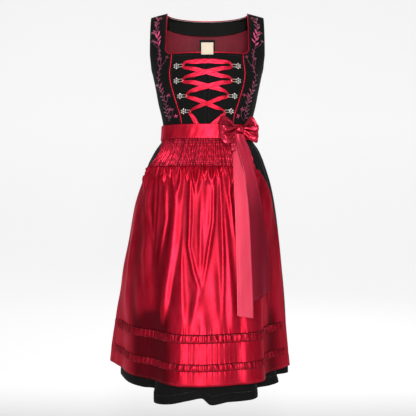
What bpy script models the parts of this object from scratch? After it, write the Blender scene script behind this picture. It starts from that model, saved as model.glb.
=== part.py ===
"""A laced dirndl with its apron, in its worn, hollow form, held up by its shoulder straps.

Metres, +Z up. The front faces -Y, and +X is the right of someone who looks at the front.
The origin lies between the shoulders, where the two straps rest on them.
Each piece of cloth is a wall on a surface that is worked out from the sizes below.
"""

import math

import bpy
from mathutils import Vector

# Heights
RIDGE_Z = 0.002
SHOULDER_SLOPE = 0.26
NECK_RISE = 0.058
ARMPIT_Z = -0.150
ARMHOLE_LOW_Z = -0.165
ARMHOLE_BEND_Z = -0.112
NECKLINE_Z = -0.134
BACK_NECK_Z = 0.0
WAIST_Z = -0.345
BAND_TOP_Z = -0.324
BAND_LOW_Z = -0.366
YOKE_LOW_Z = -0.442
APRON_HEM_Z = -1.003
SKIRT_HEM_Z = -1.036

# Walls and gaps
BODICE_WALL = 0.0015
LINING_WALL = 0.0010
SKIRT_WALL = 0.0013
APRON_WALL = 0.0011
BAND_WALL = 0.0016
BAND_LIFT = 0.0048
BAND_END_ANGLE = 0.0025
RIBBON_WALL = 0.0010
GAP = 0.0003
HALF_GAP = GAP / 2

# Widths from the centre line
NECK_HALF = 0.1165
STRAP_OUTER = 0.162
CORNER_RADIUS = 0.018
RING_POWER = 2.2
FRONT_DROP_POWER = 1.5
FRONT_ROUND_POWER = 1.7
BACK_DROP_POWER = 3.0
BACK_ROUND_POWER = 2.0

# Bodice sections: height, half width, depth in front and depth behind
BODICE_SECTIONS = (
    ("z", "half_width", "front", "back"),
    (-0.366, 0.1285, 0.0960, 0.0900),
    (-0.345, 0.1265, 0.0950, 0.0885),
    (-0.318, 0.1270, 0.0985, 0.0890),
    (-0.290, 0.1320, 0.1040, 0.0915),
    (-0.260, 0.1395, 0.1120, 0.0945),
    (-0.230, 0.1450, 0.1190, 0.0980),
    (-0.200, 0.1510, 0.1225, 0.1010),
    (-0.174, 0.1565, 0.1210, 0.1030),
    (-0.150, 0.1640, 0.1180, 0.1040),
    (-0.120, 0.1710, 0.1160, 0.1040),
    (0.080, 0.1740, 0.1160, 0.1040),
)

# Skirt sections: height, centre, half width, depth in front and depth behind
SKIRT_SECTIONS = (
    ("z", "centre_x", "half_width", "front", "back"),
    (-0.345, 0.000, 0.1265, 0.0950, 0.0885),
    (-0.366, 0.000, 0.1295, 0.0985, 0.0925),
    (-0.391, -0.001, 0.1440, 0.1090, 0.1080),
    (-0.414, -0.002, 0.1560, 0.1190, 0.1210),
    (-0.437, -0.003, 0.1660, 0.1290, 0.1320),
    (-0.484, -0.003, 0.1820, 0.1460, 0.1490),
    (-0.553, -0.004, 0.1985, 0.1650, 0.1680),
    (-0.646, -0.005, 0.2130, 0.1860, 0.1880),
    (-0.739, -0.006, 0.2240, 0.2040, 0.2050),
    (-0.832, -0.006, 0.2330, 0.2190, 0.2180),
    (-0.948, -0.006, 0.2400, 0.2340, 0.2290),
    (-1.060, -0.006, 0.2450, 0.2440, 0.2370),
)

# Folds of the skirt at its hem: angle from the front, how far the cloth goes in,
# how far it kicks out below the apron, and how much lower it hangs there
SKIRT_FOLDS = (
    ("angle", "inset", "kick", "drop"),
    (-180, 0.004, 0.000, 0.000),
    (-166, 0.036, 0.000, -0.004),
    (-152, 0.002, 0.000, 0.002),
    (-138, 0.034, 0.000, -0.003),
    (-124, 0.002, 0.000, 0.002),
    (-110, 0.030, 0.000, -0.004),
    (-93, 0.000, 0.000, 0.000),
    (-80, 0.012, 0.000, 0.002),
    (-68, 0.024, 0.000, 0.004),
    (-52, 0.042, 0.000, 0.003),
    (-43, 0.058, 0.000, 0.004),
    (-33, 0.018, 0.006, 0.022),
    (-22, 0.006, 0.004, 0.018),
    (-10, 0.005, 0.002, 0.006),
    (-2, 0.010, 0.002, 0.001),
    (4, 0.009, 0.010, 0.015),
    (15, 0.014, 0.010, 0.010),
    (28, 0.012, 0.006, 0.011),
    (35, 0.022, 0.006, 0.011),
    (45, 0.060, 0.006, 0.002),
    (57, 0.050, 0.010, 0.003),
    (67, 0.040, 0.010, 0.003),
    (78, 0.046, 0.000, -0.004),
    (90, 0.006, 0.000, -0.002),
    (106, 0.032, 0.000, -0.004),
    (121, 0.002, 0.000, 0.002),
    (136, 0.036, 0.000, -0.003),
    (151, 0.002, 0.000, 0.002),
    (166, 0.034, 0.000, -0.004),
    (180, 0.004, 0.000, 0.000),
)
SKIRT_FOLD_TOP_Z = -0.380
SKIRT_FOLD_POWER = 1.25
SKIRT_KICK_TOP_Z = APRON_HEM_Z - 0.004
SKIRT_KICK_FALL = 0.035
SKIRT_ROWS = (0, 0.035, 0.07, 0.12, 0.19, 0.32, 0.50, 0.70, 0.94, 1.0)

# Apron hem: angle from the front and how far it stands out from the skirt's section
APRON_HEM = (
    ("angle", "stand_out"),
    (-100, 0.034),
    (-92, 0.027),
    (-84, 0.008),
    (-70, -0.012),
    (-47, -0.012),
    (-33, -0.006),
    (-20, 0.004),
    (-5, 0.008),
    (7, 0.002),
    (21, -0.004),
    (33, 0.000),
    (39, -0.008),
    (51, -0.044),
    (60, -0.040),
    (70, -0.026),
    (84, -0.002),
    (96, 0.004),
)
APRON_CLEARANCE = 0.0045
APRON_HEM_SHAPE_TOP_Z = -0.50

# Soft folds of the apron: where each starts under the yoke and where it ends at the hem
# in degrees, how high it stands, its half width in degrees, and where it fades out
APRON_FOLDS = (
    ("top_angle", "low_angle", "height", "half_width", "end_z"),
    (-64, -76, 0.007, 4.5, -0.960),
    (-53, -60, 0.009, 4.0, -0.880),
    (-44, -50, 0.009, 4.0, -0.800),
    (-36, -40, 0.008, 3.6, -0.760),
    (-25, -29, 0.014, 5.5, -0.900),
    (-14, -12, 0.011, 4.2, -0.940),
    (-5, -4, 0.008, 3.4, -0.780),
    (4, 3, 0.009, 3.4, -0.760),
    (12, 12, 0.010, 4.0, -0.930),
    (21, 22, 0.009, 4.0, -0.840),
    (32, 34, 0.009, 4.4, -0.900),
    (43, 46, 0.009, 4.0, -0.820),
    (54, 61, 0.008, 4.5, -0.960),
)
APRON_FOLD_RISE = 0.06
APRON_FOLD_FADE = 0.12
# Side edges, in degrees from the front at the waist and at the hem
APRON_LEFT_EDGE = (-71, -92)
APRON_RIGHT_EDGE = (61, 80)
APRON_EDGE_POWER = 0.7
APRON_ROWS = (0, 0.045, 0.11, 0.19, 0.29, 0.40, 0.51, 0.62, 0.73, 0.83, 0.92, 1.0)

YOKE_GATHERS = 46
YOKE_ROWS = (
    ("share", "height"),
    (0.00, 0.0010),
    (0.30, 0.0030),
    (0.75, 0.0022),
    (1.00, 0.0032),
)
RUCHE_GATHERS = 30
RUCHE_GAP = 0.0017
RUCHE_WALL = 0.0010
RUCHE_VALLEY = 0.0006
RUCHE_INSET = 0.035
RUCHES = (
    ("name", "top_z", "low_z", "height"),
    ("apron_ruche_upper", -0.876, -0.897, 0.0026),
    ("apron_ruche_lower", -0.949, -0.966, 0.0024),
)

# Seam between centre front and side front: height and distance from the centre line
FRONT_SEAM = (
    ("z", "x"),
    (-0.345, 0.068),
    (-0.327, 0.069),
    (-0.299, 0.074),
    (-0.260, 0.086),
    (-0.217, 0.098),
    (-0.187, 0.102),
    (-0.152, 0.098),
    (-0.134, 0.097),
)
# Seam between back centre and back side, up to where it meets the armhole
BACK_SEAM = (
    ("z", "x"),
    (-0.345, 0.048),
    (-0.290, 0.058),
    (-0.230, 0.080),
    (-0.180, 0.106),
    (-0.140, 0.134),
    (-0.100, 0.1600),
)
BACK_SEAM_TOP_Z = -0.100
BACK_SEAM_ROWS = (0.0, 0.15, 0.30, 0.45, 0.60, 0.80, 1.0)

# Facing and lining inside the back
FACING_DEPTH = 0.040
FACING_SIDE_RISE = 0.012
LINING_LOW_Z = -0.335
LINING_GAP = 0.0037
FACING_GAP = 0.0029
FACING_SIDE_GAP = 0.0020
FACING_TOP_GAP = 0.0010
FACING_TOP_DROP = 0.008
LINING_STEP = 0.0030
LINING_ROWS = (0, 0.12, 0.20, 0.26, 0.32, 0.38, 0.60, 1.0)
# How far the lining's sides stay from the side seams below, and from the armholes above, as angles
LINING_SIDE_ANGLES = (0.05, 0.15)

PIPING_RADIUS = 0.0015
PIPING_SIDES = 5
PIPING_GAP = 0.0006
PIPING_RIDGE_GAP = 0.0035
PIPING_END_GAP = 0.0010

# Hooks for the lace: height and distance of the base's centre from the centre line
HOOKS = (
    ("z", "x"),
    (-0.168, 0.0840),
    (-0.208, 0.0840),
    (-0.249, 0.0745),
    (-0.290, 0.0650),
)
HOOK_BASE_RADIUS = 0.0072
HOOK_PETALS = 5
HOOK_PETAL_RISE = 0.0009
HOOK_REACH = 0.0165
HOOK_TONGUE_HALF = 0.0042
HOOK_WIRE = 0.0019
HOOK_THICK = 0.0020
HOOK_POINTS = 16

LACE_WIDTH = 0.0125
LACE_OVER_TIP = 0.0052
LACE_INTO_TIP = 0.0047
LACE_BELOW_TIP = 0.0021
LACE_NARROW = 0.45
LACE_ENDS = (("name", "side", "low_x"), ("left", -1, 0.026), ("right", 1, 0.010))
LACE_TOP_RISE = 0.006
LACE_LOW_LIFT = 0.0017
LACE_HIGH_LIFT = 0.0042
LACE_FREE_END_LOW_Z = BAND_TOP_Z - 0.010

LABEL_SIDE = 0.033
LABEL_LOW_Z = -0.1385
LABEL_TAB_WIDTH = 0.042
LABEL_TAB_TOP_Z = -0.098
LABEL_TAB_LOW_Z = -0.150
LABEL_OUT = 0.0020
LABEL_TAB_IN = 0.0032

# The bow: its knot on the waistband, its loops and its two tails
KNOT_X = 0.0835
KNOT_Z = -0.3400
KNOT_LIFT = 0.0142
KNOT_SIZE = (0.0125, 0.0075, 0.0100)
BOW_LOOPS = (
    ("name", "side", "length", "front_tilt", "back_tilt", "half_width", "bulge"),
    ("bow_loop_left", -1, 0.056, -0.58, 0.46, 0.0270, 0.0150),
    ("bow_loop_right", 1, 0.045, -0.56, 0.66, 0.0265, 0.0140),
)
LOOP_START = 0.08
LOOP_PINCH = 0.0013
LOOP_BACK_SHARE = 0.35
LOOP_NARROW = 0.22
LOOP_LEAN = 0.35
# Tails: height, left edge and right edge as distances from the centre line, and lift off the apron
FRONT_TAIL = (
    ("z", "left_x", "right_x", "lift"),
    (-0.3515, 0.0800, 0.0960, 0.0078),
    (-0.400, 0.0705, 0.0900, 0.0110),
    (-0.470, 0.0700, 0.1030, 0.0150),
    (-0.550, 0.0725, 0.1100, 0.0170),
    (-0.690, 0.0750, 0.1150, 0.0170),
    (-0.833, 0.0765, 0.1185, 0.0150),
)
BACK_TAIL = (
    ("z", "left_x", "right_x", "lift"),
    (-0.3515, 0.0850, 0.1040, 0.0062),
    (-0.400, 0.0930, 0.1210, 0.0065),
    (-0.470, 0.1080, 0.1430, 0.0095),
    (-0.550, 0.1180, 0.1590, 0.0110),
    (-0.690, 0.1270, 0.1720, 0.0110),
    (-0.790, 0.1270, 0.1760, 0.0100),
)
# How much higher a tail's end is at its right edge than at its middle
FRONT_TAIL_SLANT = -0.004
BACK_TAIL_SLANT = 0.010


def rows_of(table):
    """The rows under a table's line of column names."""
    return table[1:]


def column(table, name):
    return table[0].index(name)


def read(table, key, name):
    """A column's value at key, on a smooth curve through the rows, whose first column is the key."""
    rows = sorted(rows_of(table))
    at = column(table, name)
    if key <= rows[0][0]:
        return rows[0][at]
    if key >= rows[-1][0]:
        return rows[-1][at]
    last = len(rows) - 1
    step = next(i for i in range(last) if key <= rows[i + 1][0])
    low, high = rows[step], rows[step + 1]
    span = high[0] - low[0]
    share = (key - low[0]) / span
    slopes = []
    for here in (step, step + 1):
        before, after = rows[max(here - 1, 0)], rows[min(here + 1, last)]
        slopes.append((after[at] - before[at]) / (after[0] - before[0]) * span)
        left = rows[here][at] - before[at]
        right = after[at] - rows[here][at]
        if left * right <= 0:
            slopes[-1] = 0.0
    square, cube = share**2, share**3
    return (
        (2 * cube - 3 * square + 1) * low[at]
        + (cube - 2 * square + share) * slopes[0]
        + (3 * square - 2 * cube) * high[at]
        + (cube - square) * slopes[1]
    )


def mix(low, high, share):
    return low + (high - low) * share


def smooth(share):
    share = min(max(share, 0.0), 1.0)
    return share * share * (3 - 2 * share)


def ridge_z(x):
    """Height of the line over the shoulder, which would rise to a neck inside the straps."""
    inside = max(0.0, 1 - (x / NECK_HALF) ** 2)
    outside = max(0.0, abs(x) - NECK_HALF)
    return RIDGE_Z + NECK_RISE * inside - SHOULDER_SLOPE * outside


def torso(x, z, face):
    """A point of the bodice at distance x from the centre line. face is -1 in front and 1 behind."""
    half_width = read(BODICE_SECTIONS, z, "half_width")
    depth = read(BODICE_SECTIONS, z, "front" if face < 0 else "back")
    round_share = max(0.0, 1 - (abs(x) / half_width) ** RING_POWER) ** (1 / RING_POWER)
    rise = min(max((z - ARMPIT_Z) / (ridge_z(x) - ARMPIT_Z), 0.0), 1.0)
    drop_power = FRONT_DROP_POWER if face < 0 else BACK_DROP_POWER
    round_power = FRONT_ROUND_POWER if face < 0 else BACK_ROUND_POWER
    fall = max(0.0, 1 - rise**drop_power) ** (1 / round_power)
    return Vector((x, face * max(depth * round_share * fall, HALF_GAP), z))


def torso_round(angle, z):
    """The same surface by its angle from the front, for the stretch that turns round the side."""
    half_width = read(BODICE_SECTIONS, z, "half_width")
    across = abs(math.sin(angle)) ** (2 / RING_POWER) * half_width
    face = -1 if math.cos(angle) > 0 else 1
    return torso(math.copysign(across, math.sin(angle)), z, face)


def angle_of(x, z):
    """The angle from the front, or from the back, at which the bodice is x wide."""
    half_width = read(BODICE_SECTIONS, z, "half_width")
    return math.asin(min(1.0, (abs(x) / half_width) ** (RING_POWER / 2)))


def armhole_angle(z):
    """Angle of the armhole's edge from the front or the back centre: a right angle at its lowest point."""
    straight = angle_of(STRAP_OUTER, max(z, ARMHOLE_BEND_Z))
    if z >= ARMHOLE_BEND_Z:
        return straight
    if z <= ARMHOLE_LOW_Z:
        return math.pi / 2
    fall = (ARMHOLE_BEND_Z - z) / (ARMHOLE_BEND_Z - ARMHOLE_LOW_Z)
    return mix(straight, math.pi / 2, 1 - math.sqrt(1 - fall**2))


def neck_edge_x(z):
    """Distance of the front neckline from the centre line, with its rounded corner."""
    above = z - NECKLINE_Z
    if above >= CORNER_RADIUS:
        return NECK_HALF
    rest = CORNER_RADIUS - max(above, 0.0)
    return NECK_HALF - CORNER_RADIUS + math.sqrt(CORNER_RADIUS**2 - rest**2)


def section_radius(angle, z):
    """Radius of the plain skirt at an angle from the front, about its centre at that height."""
    side = read(SKIRT_SECTIONS, z, "half_width")
    depth = read(SKIRT_SECTIONS, z, "front" if math.cos(angle) > 0 else "back")
    across = (abs(math.sin(angle)) / side) ** RING_POWER
    along = (abs(math.cos(angle)) / depth) ** RING_POWER
    return (across + along) ** (-1 / RING_POWER)


def at_radius(angle, radius, z):
    centre = read(SKIRT_SECTIONS, z, "centre_x")
    return Vector((centre + radius * math.sin(angle), -radius * math.cos(angle), z))


def skirt_point(angle, share):
    """The skirt's inner face, from the waist seam at share 0 to the hem at share 1."""
    degrees = math.degrees(angle)
    hem_z = SKIRT_HEM_Z - read(SKIRT_FOLDS, degrees, "drop")
    z = mix(WAIST_Z - GAP, hem_z, share)
    growth = max(0.0, (SKIRT_FOLD_TOP_Z - z) / (SKIRT_FOLD_TOP_Z - SKIRT_HEM_Z))
    inset = read(SKIRT_FOLDS, degrees, "inset") * growth**SKIRT_FOLD_POWER
    kick = read(SKIRT_FOLDS, degrees, "kick") * smooth((SKIRT_KICK_TOP_Z - z) / SKIRT_KICK_FALL)
    return at_radius(angle, section_radius(angle, z) - inset + kick, z)


def apron_edges(z):
    """Angles of the apron's two side edges at a height."""
    share = (YOKE_LOW_Z - z) / (YOKE_LOW_Z - APRON_HEM_Z)
    share = min(max(share, 0.0), 1.0) ** APRON_EDGE_POWER
    return math.radians(mix(*APRON_LEFT_EDGE, share)), math.radians(mix(*APRON_RIGHT_EDGE, share))


def apron_radius(angle, z, folded=True):
    """Radius of the apron's inner face, with or without its soft folds."""
    degrees = math.degrees(angle)
    down = smooth((APRON_HEM_SHAPE_TOP_Z - z) / (APRON_HEM_SHAPE_TOP_Z - APRON_HEM_Z))
    radius = section_radius(angle, z) + SKIRT_WALL + APRON_CLEARANCE
    radius += read(APRON_HEM, degrees, "stand_out") * down
    if not folded:
        return radius
    low_share = (YOKE_LOW_Z - z) / (YOKE_LOW_Z - APRON_HEM_Z)
    for top, low, height, half_width, end_z in rows_of(APRON_FOLDS):
        middle = mix(top, low, low_share)
        rise = smooth((YOKE_LOW_Z - z) / APRON_FOLD_RISE) * smooth((z - end_z) / APRON_FOLD_FADE)
        radius += height * rise * math.exp(-(((degrees - middle) / half_width) ** 2))
    return radius


def apron_point(across, z, lift=0.0, folded=True):
    """The apron at a share across it, from its left edge to its right edge."""
    left, right = apron_edges(z)
    angle = mix(left, right, across)
    return at_radius(angle, apron_radius(angle, z, folded) + lift, z)


def normal_at(surface, u, v):
    """Unit normal of a surface by small steps, pointing away from the garment's inside."""
    step = 1e-4
    u_low, u_high = max(u - step, 0.0), min(u + step, 1.0)
    v_low, v_high = max(v - step, 0.0), min(v + step, 1.0)
    along = surface(u_high, v) - surface(u_low, v)
    down = surface(u, v_high) - surface(u, v_low)
    return along.cross(down).normalized()


def even(count):
    return [i / count for i in range(count + 1)]


def finish(name, points, faces, finish_of):
    """Makes the named object from its points and faces, with its material and smooth shading."""
    mesh = bpy.data.meshes.new(name)
    mesh.from_pydata([tuple(p) for p in points], [], faces)
    mesh.update()
    made = bpy.data.objects.new(name, mesh)
    bpy.context.scene.collection.objects.link(made)
    mesh.materials.append(finish_of)
    mesh.shade_smooth()
    mesh.set_sharp_from_angle(angle=math.radians(50))
    return made


def wall(name, surface, us, vs, inner, outer, finish_of, raised=None):
    """A wall on a surface, from the offset inner to the offset outer along the normal.

    us and vs are the shares across and down at which the surface is taken, with u to the right
    of someone who looks at it from outside and v downwards. raised adds to the outer offset.
    """
    outside, inside = [], []
    for v in vs:
        for i, u in enumerate(us):
            point = surface(u, v)
            normal = -normal_at(surface, u, v)
            extra = raised(i, u, v) if raised else 0.0
            outside.append(point + normal * (outer + extra))
            inside.append(point + normal * inner)
    wide, deep = len(us), len(vs)
    shift = wide * deep
    low = (deep - 1) * wide
    faces = []
    for row in range(deep - 1):
        for here in range(wide - 1):
            a = row * wide + here
            b, c, d = a + 1, a + wide, a + wide + 1
            faces.append((a, c, d, b))
            faces.append((a + shift, b + shift, d + shift, c + shift))
    for here in range(wide - 1):
        faces.append((here, here + 1, here + 1 + shift, here + shift))
        faces.append((low + here + 1, low + here, low + here + shift, low + here + 1 + shift))
    for row in range(deep - 1):
        a, c = row * wide, (row + 1) * wide
        b, d = a + wide - 1, c + wide - 1
        faces.append((c, a, a + shift, c + shift))
        faces.append((b, d, d + shift, b + shift))
    return finish(name, outside + inside, faces, finish_of)


def tube(name, points, radius, sides, finish_of):
    """A round tube along points, with flat ends."""
    rings = []
    last = len(points) - 1
    turned = None
    for i, point in enumerate(points):
        along = (points[min(i + 1, last)] - points[max(i - 1, 0)]).normalized()
        if turned is None:
            turned = along.cross(Vector((0, 0, 1)) if abs(along.z) < 0.9 else Vector((0, 1, 0)))
        turned = (turned - along * turned.dot(along)).normalized()
        other = along.cross(turned)
        for k in range(sides):
            turn = 2 * math.pi * k / sides
            rings.append(point + (turned * math.cos(turn) + other * math.sin(turn)) * radius)
    faces = []
    for i in range(last):
        for k in range(sides):
            a, b = i * sides + k, i * sides + (k + 1) % sides
            faces.append((a, b, b + sides, a + sides))
    faces.append(tuple(reversed(range(sides))))
    faces.append(tuple(last * sides + k for k in range(sides)))
    return finish(name, rings, faces, finish_of)


def cloth(name, colour, roughness, metallic=0.0):
    made = bpy.data.materials.new(name)
    made.use_nodes = True
    shader = made.node_tree.nodes["Principled BSDF"]
    shader.inputs["Base Color"].default_value = (*colour, 1.0)
    shader.inputs["Roughness"].default_value = roughness
    shader.inputs["Metallic"].default_value = metallic
    made.diffuse_color = (*colour, 1.0)
    return made


def clear_scene():
    for thing in list(bpy.data.objects):
        bpy.data.objects.remove(thing, do_unlink=True)


def bodice_fronts(black):
    """Two centre fronts that meet at the closing, and two side fronts that run up into the straps."""
    for name, side in (("left", -1), ("right", 1)):

        def centre(u, v, side=side):
            z = mix(NECKLINE_Z, WAIST_Z, v)
            seam = read(FRONT_SEAM, z, "x") - HALF_GAP
            x = mix(-seam, -HALF_GAP, u) if side < 0 else mix(HALF_GAP, seam, u)
            return torso(x, z, -1)

        wall(f"centre_front_{name}", centre, even(5), even(9), 0.0, BODICE_WALL, black)

        def side_front(u, v, side=side):
            if v < 0.5:
                low = NECKLINE_Z + CORNER_RADIUS
                share = math.sin(v * math.pi)
                inner_x = NECK_HALF
                rough_x = mix(inner_x, STRAP_OUTER, u)
                z = mix(ridge_z(rough_x), low, 1 - math.sqrt(max(0.0, 1 - share**2)))
            elif v < 0.6:
                z = NECKLINE_Z + CORNER_RADIUS * (1 - math.sin((v - 0.5) * 5 * math.pi))
                inner_x = neck_edge_x(z)
            else:
                z = mix(NECKLINE_Z, WAIST_Z, (v - 0.6) / 0.4)
                inner_x = read(FRONT_SEAM, z, "x") + HALF_GAP
            share_u = u if side > 0 else 1 - u
            inner = angle_of(inner_x, z)
            outer = armhole_angle(z)
            if z <= ARMHOLE_LOW_Z:
                outer -= HALF_GAP / read(BODICE_SECTIONS, z, "front")
            return torso_round(side * mix(inner, outer, share_u), z)

        rows = [0, 0.06, 0.14, 0.23, 0.33, 0.42, 0.5, 0.535, 0.57, 0.6]
        rows += [0.6 + 0.4 * share for share in even(9)[1:]]
        wall(f"side_front_{name}", side_front, even(6), rows, 0.0, BODICE_WALL, black)


def back_edge_x(z):
    """Half width of the back centre piece: its seam below, the armhole's edge above."""
    if z <= BACK_SEAM_TOP_Z:
        return read(BACK_SEAM, z, "x") - HALF_GAP
    return mix(read(BACK_SEAM, BACK_SEAM_TOP_Z, "x"), STRAP_OUTER, smooth((z - BACK_SEAM_TOP_Z) / 0.02))


def back_point(x_share, v, low_z=WAIST_Z):
    """The back centre piece, with x_share from -1 to 1, from the neck and shoulders down."""
    rough = x_share * STRAP_OUTER
    inside_neck = abs(rough) <= NECK_HALF
    top = BACK_NECK_Z if inside_neck else ridge_z(rough)
    bend = BACK_SEAM_TOP_Z
    if v < 0.5:
        share = 2 * v
        z = mix(top, bend, share**2 if not inside_neck else mix(share**2, share, 0.4))
    else:
        z = mix(bend, low_z, 2 * v - 1)
    return torso(x_share * back_edge_x(z), z, 1)


NECK_SHARE = NECK_HALF / STRAP_OUTER
BACK_SHARES = (0.0, 0.18, 0.36, 0.54, NECK_SHARE, NECK_SHARE + 0.006, 0.82, 0.91, 1.0)


def back_columns():
    """Shares across the back centre piece from its left to its right as seen from behind."""
    half = list(BACK_SHARES)
    return [-s for s in reversed(half[1:])] + half


def bodice_back(black):
    shares = back_columns()
    us = [(s + 1) / 2 for s in shares]

    def centre(u, v):
        return back_point(1 - 2 * u, v)

    rows = [0, 0.06, 0.14, 0.24, 0.36] + [0.5 + 0.5 * share for share in BACK_SEAM_ROWS]
    wall("back_centre", centre, us, rows, 0.0, BODICE_WALL, black)

    for name, side in (("left", -1), ("right", 1)):

        def back_side(u, v, side=side):
            near = u if side < 0 else 1 - u
            top_z = armhole_height(near)
            z = mix(top_z, WAIST_Z, v)
            inner = angle_of(read(BACK_SEAM, z, "x") + HALF_GAP, z)
            outer = math.pi / 2 - HALF_GAP / read(BODICE_SECTIONS, z, "back")
            turn = mix(inner, max(outer, inner), near)
            return torso_round(side * (math.pi - turn), z)

        wall(f"back_side_{name}", back_side, even(6), BACK_SEAM_ROWS, 0.0, BODICE_WALL, black)


def armhole_height(near):
    """Height of the armhole's edge behind, from the back seam at near 0 to the side seam at near 1."""
    fall = math.sin(near * math.pi / 2)
    return mix(BACK_SEAM_TOP_Z, ARMHOLE_LOW_Z, fall)


def facing_low_z(x):
    """Lower edge of the facing under the back neck."""
    share = min(abs(x) / NECK_HALF, 1.0)
    return BACK_NECK_Z - FACING_DEPTH + FACING_SIDE_RISE * share**2


def back_inside(black, maroon):
    """The facing under the back neck and the lining below it, both inside the back."""

    def facing(u, v):
        x = mix(1, -1, u) * (NECK_HALF - FACING_SIDE_GAP)
        top_z = BACK_NECK_Z - FACING_TOP_GAP - FACING_TOP_DROP * (x / NECK_HALF) ** 4
        z = mix(top_z, facing_low_z(x), v**1.3)
        return torso(x, z, 1)

    outer = -FACING_GAP
    wall("back_facing", facing, even(12), even(4), outer - LINING_WALL, outer, black)

    def lining(u, v):
        s = mix(1, -1, u)
        z = mix(facing_low_z(s * STRAP_OUTER) - LINING_STEP, LINING_LOW_Z, v)
        turn = armhole_angle(z) - mix(*LINING_SIDE_ANGLES, smooth((z - ARMHOLE_LOW_Z) / 0.03))
        return torso_round(math.pi - s * turn, z)

    outer = -LINING_GAP
    wall("back_lining", lining, even(18), LINING_ROWS, outer - LINING_WALL, outer, maroon)


def edge_normal(x, z, face):
    """Outward normal of the bodice at a point."""
    step = 1e-4
    along = torso(x + step, z, face) - torso(x - step, z, face)
    up = torso(x, z + step, face) - torso(x, z - step, face)
    normal = along.cross(up)
    return (normal if normal.y * face > 0 else -normal).normalized()


def front_neck_path():
    """Points along the front neckline from the left shoulder to the right one, just inside the edge."""
    away = PIPING_RADIUS + PIPING_GAP
    half = []
    for share in even(9):
        z = mix(ridge_z(NECK_HALF) - PIPING_RIDGE_GAP, NECKLINE_Z + CORNER_RADIUS, share**1.3)
        half.append((NECK_HALF - away, z))
    for turn in even(4)[1:]:
        bend = turn * math.pi / 2
        reach = CORNER_RADIUS - away
        middle = (NECK_HALF - CORNER_RADIUS, NECKLINE_Z + CORNER_RADIUS)
        half.append((middle[0] + reach * math.cos(bend), middle[1] - reach * math.sin(bend)))
    inner = NECK_HALF - CORNER_RADIUS
    half += [(inner * (1 - share), NECKLINE_Z + away) for share in even(4)[1:]]
    left = [(-x, z) for x, z in half]
    return left + list(reversed(half[:-1]))


def piping(red):
    """Round piping on the neckline, on the front seams and on the back neck."""
    middle = BODICE_WALL / 2
    front = []
    for x, z in front_neck_path():
        point = torso(x, z, -1)
        front.append(point + edge_normal(x, z, -1) * middle)
    tube("neck_piping_front", front, PIPING_RADIUS, PIPING_SIDES, red)

    back = []
    for share in even(20):
        x = mix(-1, 1, share) * (NECK_HALF - PIPING_END_GAP)
        z = BACK_NECK_Z
        point = torso(x, z, 1) + edge_normal(x, z, 1) * middle
        back.append(point + Vector((0, 0, PIPING_RADIUS + PIPING_GAP)))
    tube("neck_piping_back", back, PIPING_RADIUS, PIPING_SIDES, red)

    for name, side in (("left", -1), ("right", 1)):
        path = []
        for share in even(12):
            z = mix(NECKLINE_Z - PIPING_END_GAP, BAND_TOP_Z + PIPING_END_GAP, share)
            x = side * read(FRONT_SEAM, z, "x")
            lift = BODICE_WALL + GAP + PIPING_RADIUS
            path.append(torso(x, z, -1) + edge_normal(x, z, -1) * lift)
        tube(f"front_piping_{name}", path, PIPING_RADIUS, PIPING_SIDES, red)


def skirt(black):
    """The gathered skirt in two halves, front and back, with seams at the sides."""
    side_gap = HALF_GAP / read(SKIRT_SECTIONS, WAIST_Z, "half_width")

    def front(u, v):
        return skirt_point(mix(-math.pi / 2 + side_gap, math.pi / 2 - side_gap, u), v)

    def back(u, v):
        turn = mix(math.pi / 2 + side_gap, 3 * math.pi / 2 - side_gap, u)
        return skirt_point(turn if turn <= math.pi else turn - 2 * math.pi, v)

    wall("skirt_front", front, even(36), SKIRT_ROWS, 0.0, SKIRT_WALL, black)
    wall("skirt_back", back, even(28), SKIRT_ROWS, 0.0, SKIRT_WALL, black)


def apron(satin):
    """The smocked yoke, the apron below it and the two ruched bands on it."""
    heights = dict(rows_of(YOKE_ROWS))

    def yoke(u, v):
        z = mix(BAND_LOW_Z - GAP, YOKE_LOW_Z + GAP, v)
        return apron_point(u, z, folded=False)

    def gathers(i, u, v):
        uneven = 0.75 + 0.25 * math.sin(1.7 * i + 9 * v)
        return heights[v] * uneven if i % 2 else 0.0

    wall("apron_smocking", yoke, even(2 * YOKE_GATHERS), list(heights), 0.0, APRON_WALL, satin, gathers)

    def panel(u, v):
        return apron_point(u, mix(YOKE_LOW_Z, APRON_HEM_Z, v))

    wall("apron_panel", panel, even(54), APRON_ROWS, 0.0, APRON_WALL, satin)

    for name, top_z, low_z, height in rows_of(RUCHES):

        def band(u, v, top_z=top_z, low_z=low_z):
            return apron_point(mix(RUCHE_INSET, 1 - RUCHE_INSET, u), mix(top_z, low_z, v))

        def waves(i, u, v, height=height):
            if v in (0.0, 1.0):
                return 0.0
            return height * (0.7 + 0.3 * math.sin(2.3 * i)) if i % 2 else RUCHE_VALLEY

        base = APRON_WALL + RUCHE_GAP
        columns = even(2 * RUCHE_GATHERS)
        wall(name, band, columns, even(2), base, base + RUCHE_WALL, satin, waves)


def waist(satin):
    """The apron's waistband in front and the tie that goes on round the back."""

    def band_surface(start, end):
        def surface(u, v):
            z = mix(BAND_TOP_Z, BAND_LOW_Z, v)
            return torso_round(mix(start, end, u), z)

        return surface

    left, right = (math.radians(edge) for edge in (APRON_LEFT_EDGE[0], APRON_RIGHT_EDGE[0]))
    outer = BAND_LIFT + BAND_WALL
    front = band_surface(left + BAND_END_ANGLE, right - BAND_END_ANGLE)
    wall("apron_waistband", front, even(22), even(3), BAND_LIFT, outer, satin)
    back = band_surface(right, left + 2 * math.pi)
    wall("apron_tie_back", back, even(30), even(3), BAND_LIFT, outer, satin)


def bow_frame():
    """The knot's place on the waistband, and its outward and sideways directions."""
    base = torso(KNOT_X, KNOT_Z, -1)
    out = edge_normal(KNOT_X, KNOT_Z, -1)
    out.z = 0
    out.normalize()
    sideways = Vector((-out.y, out.x, 0))
    return base + out * KNOT_LIFT, out, sideways


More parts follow.
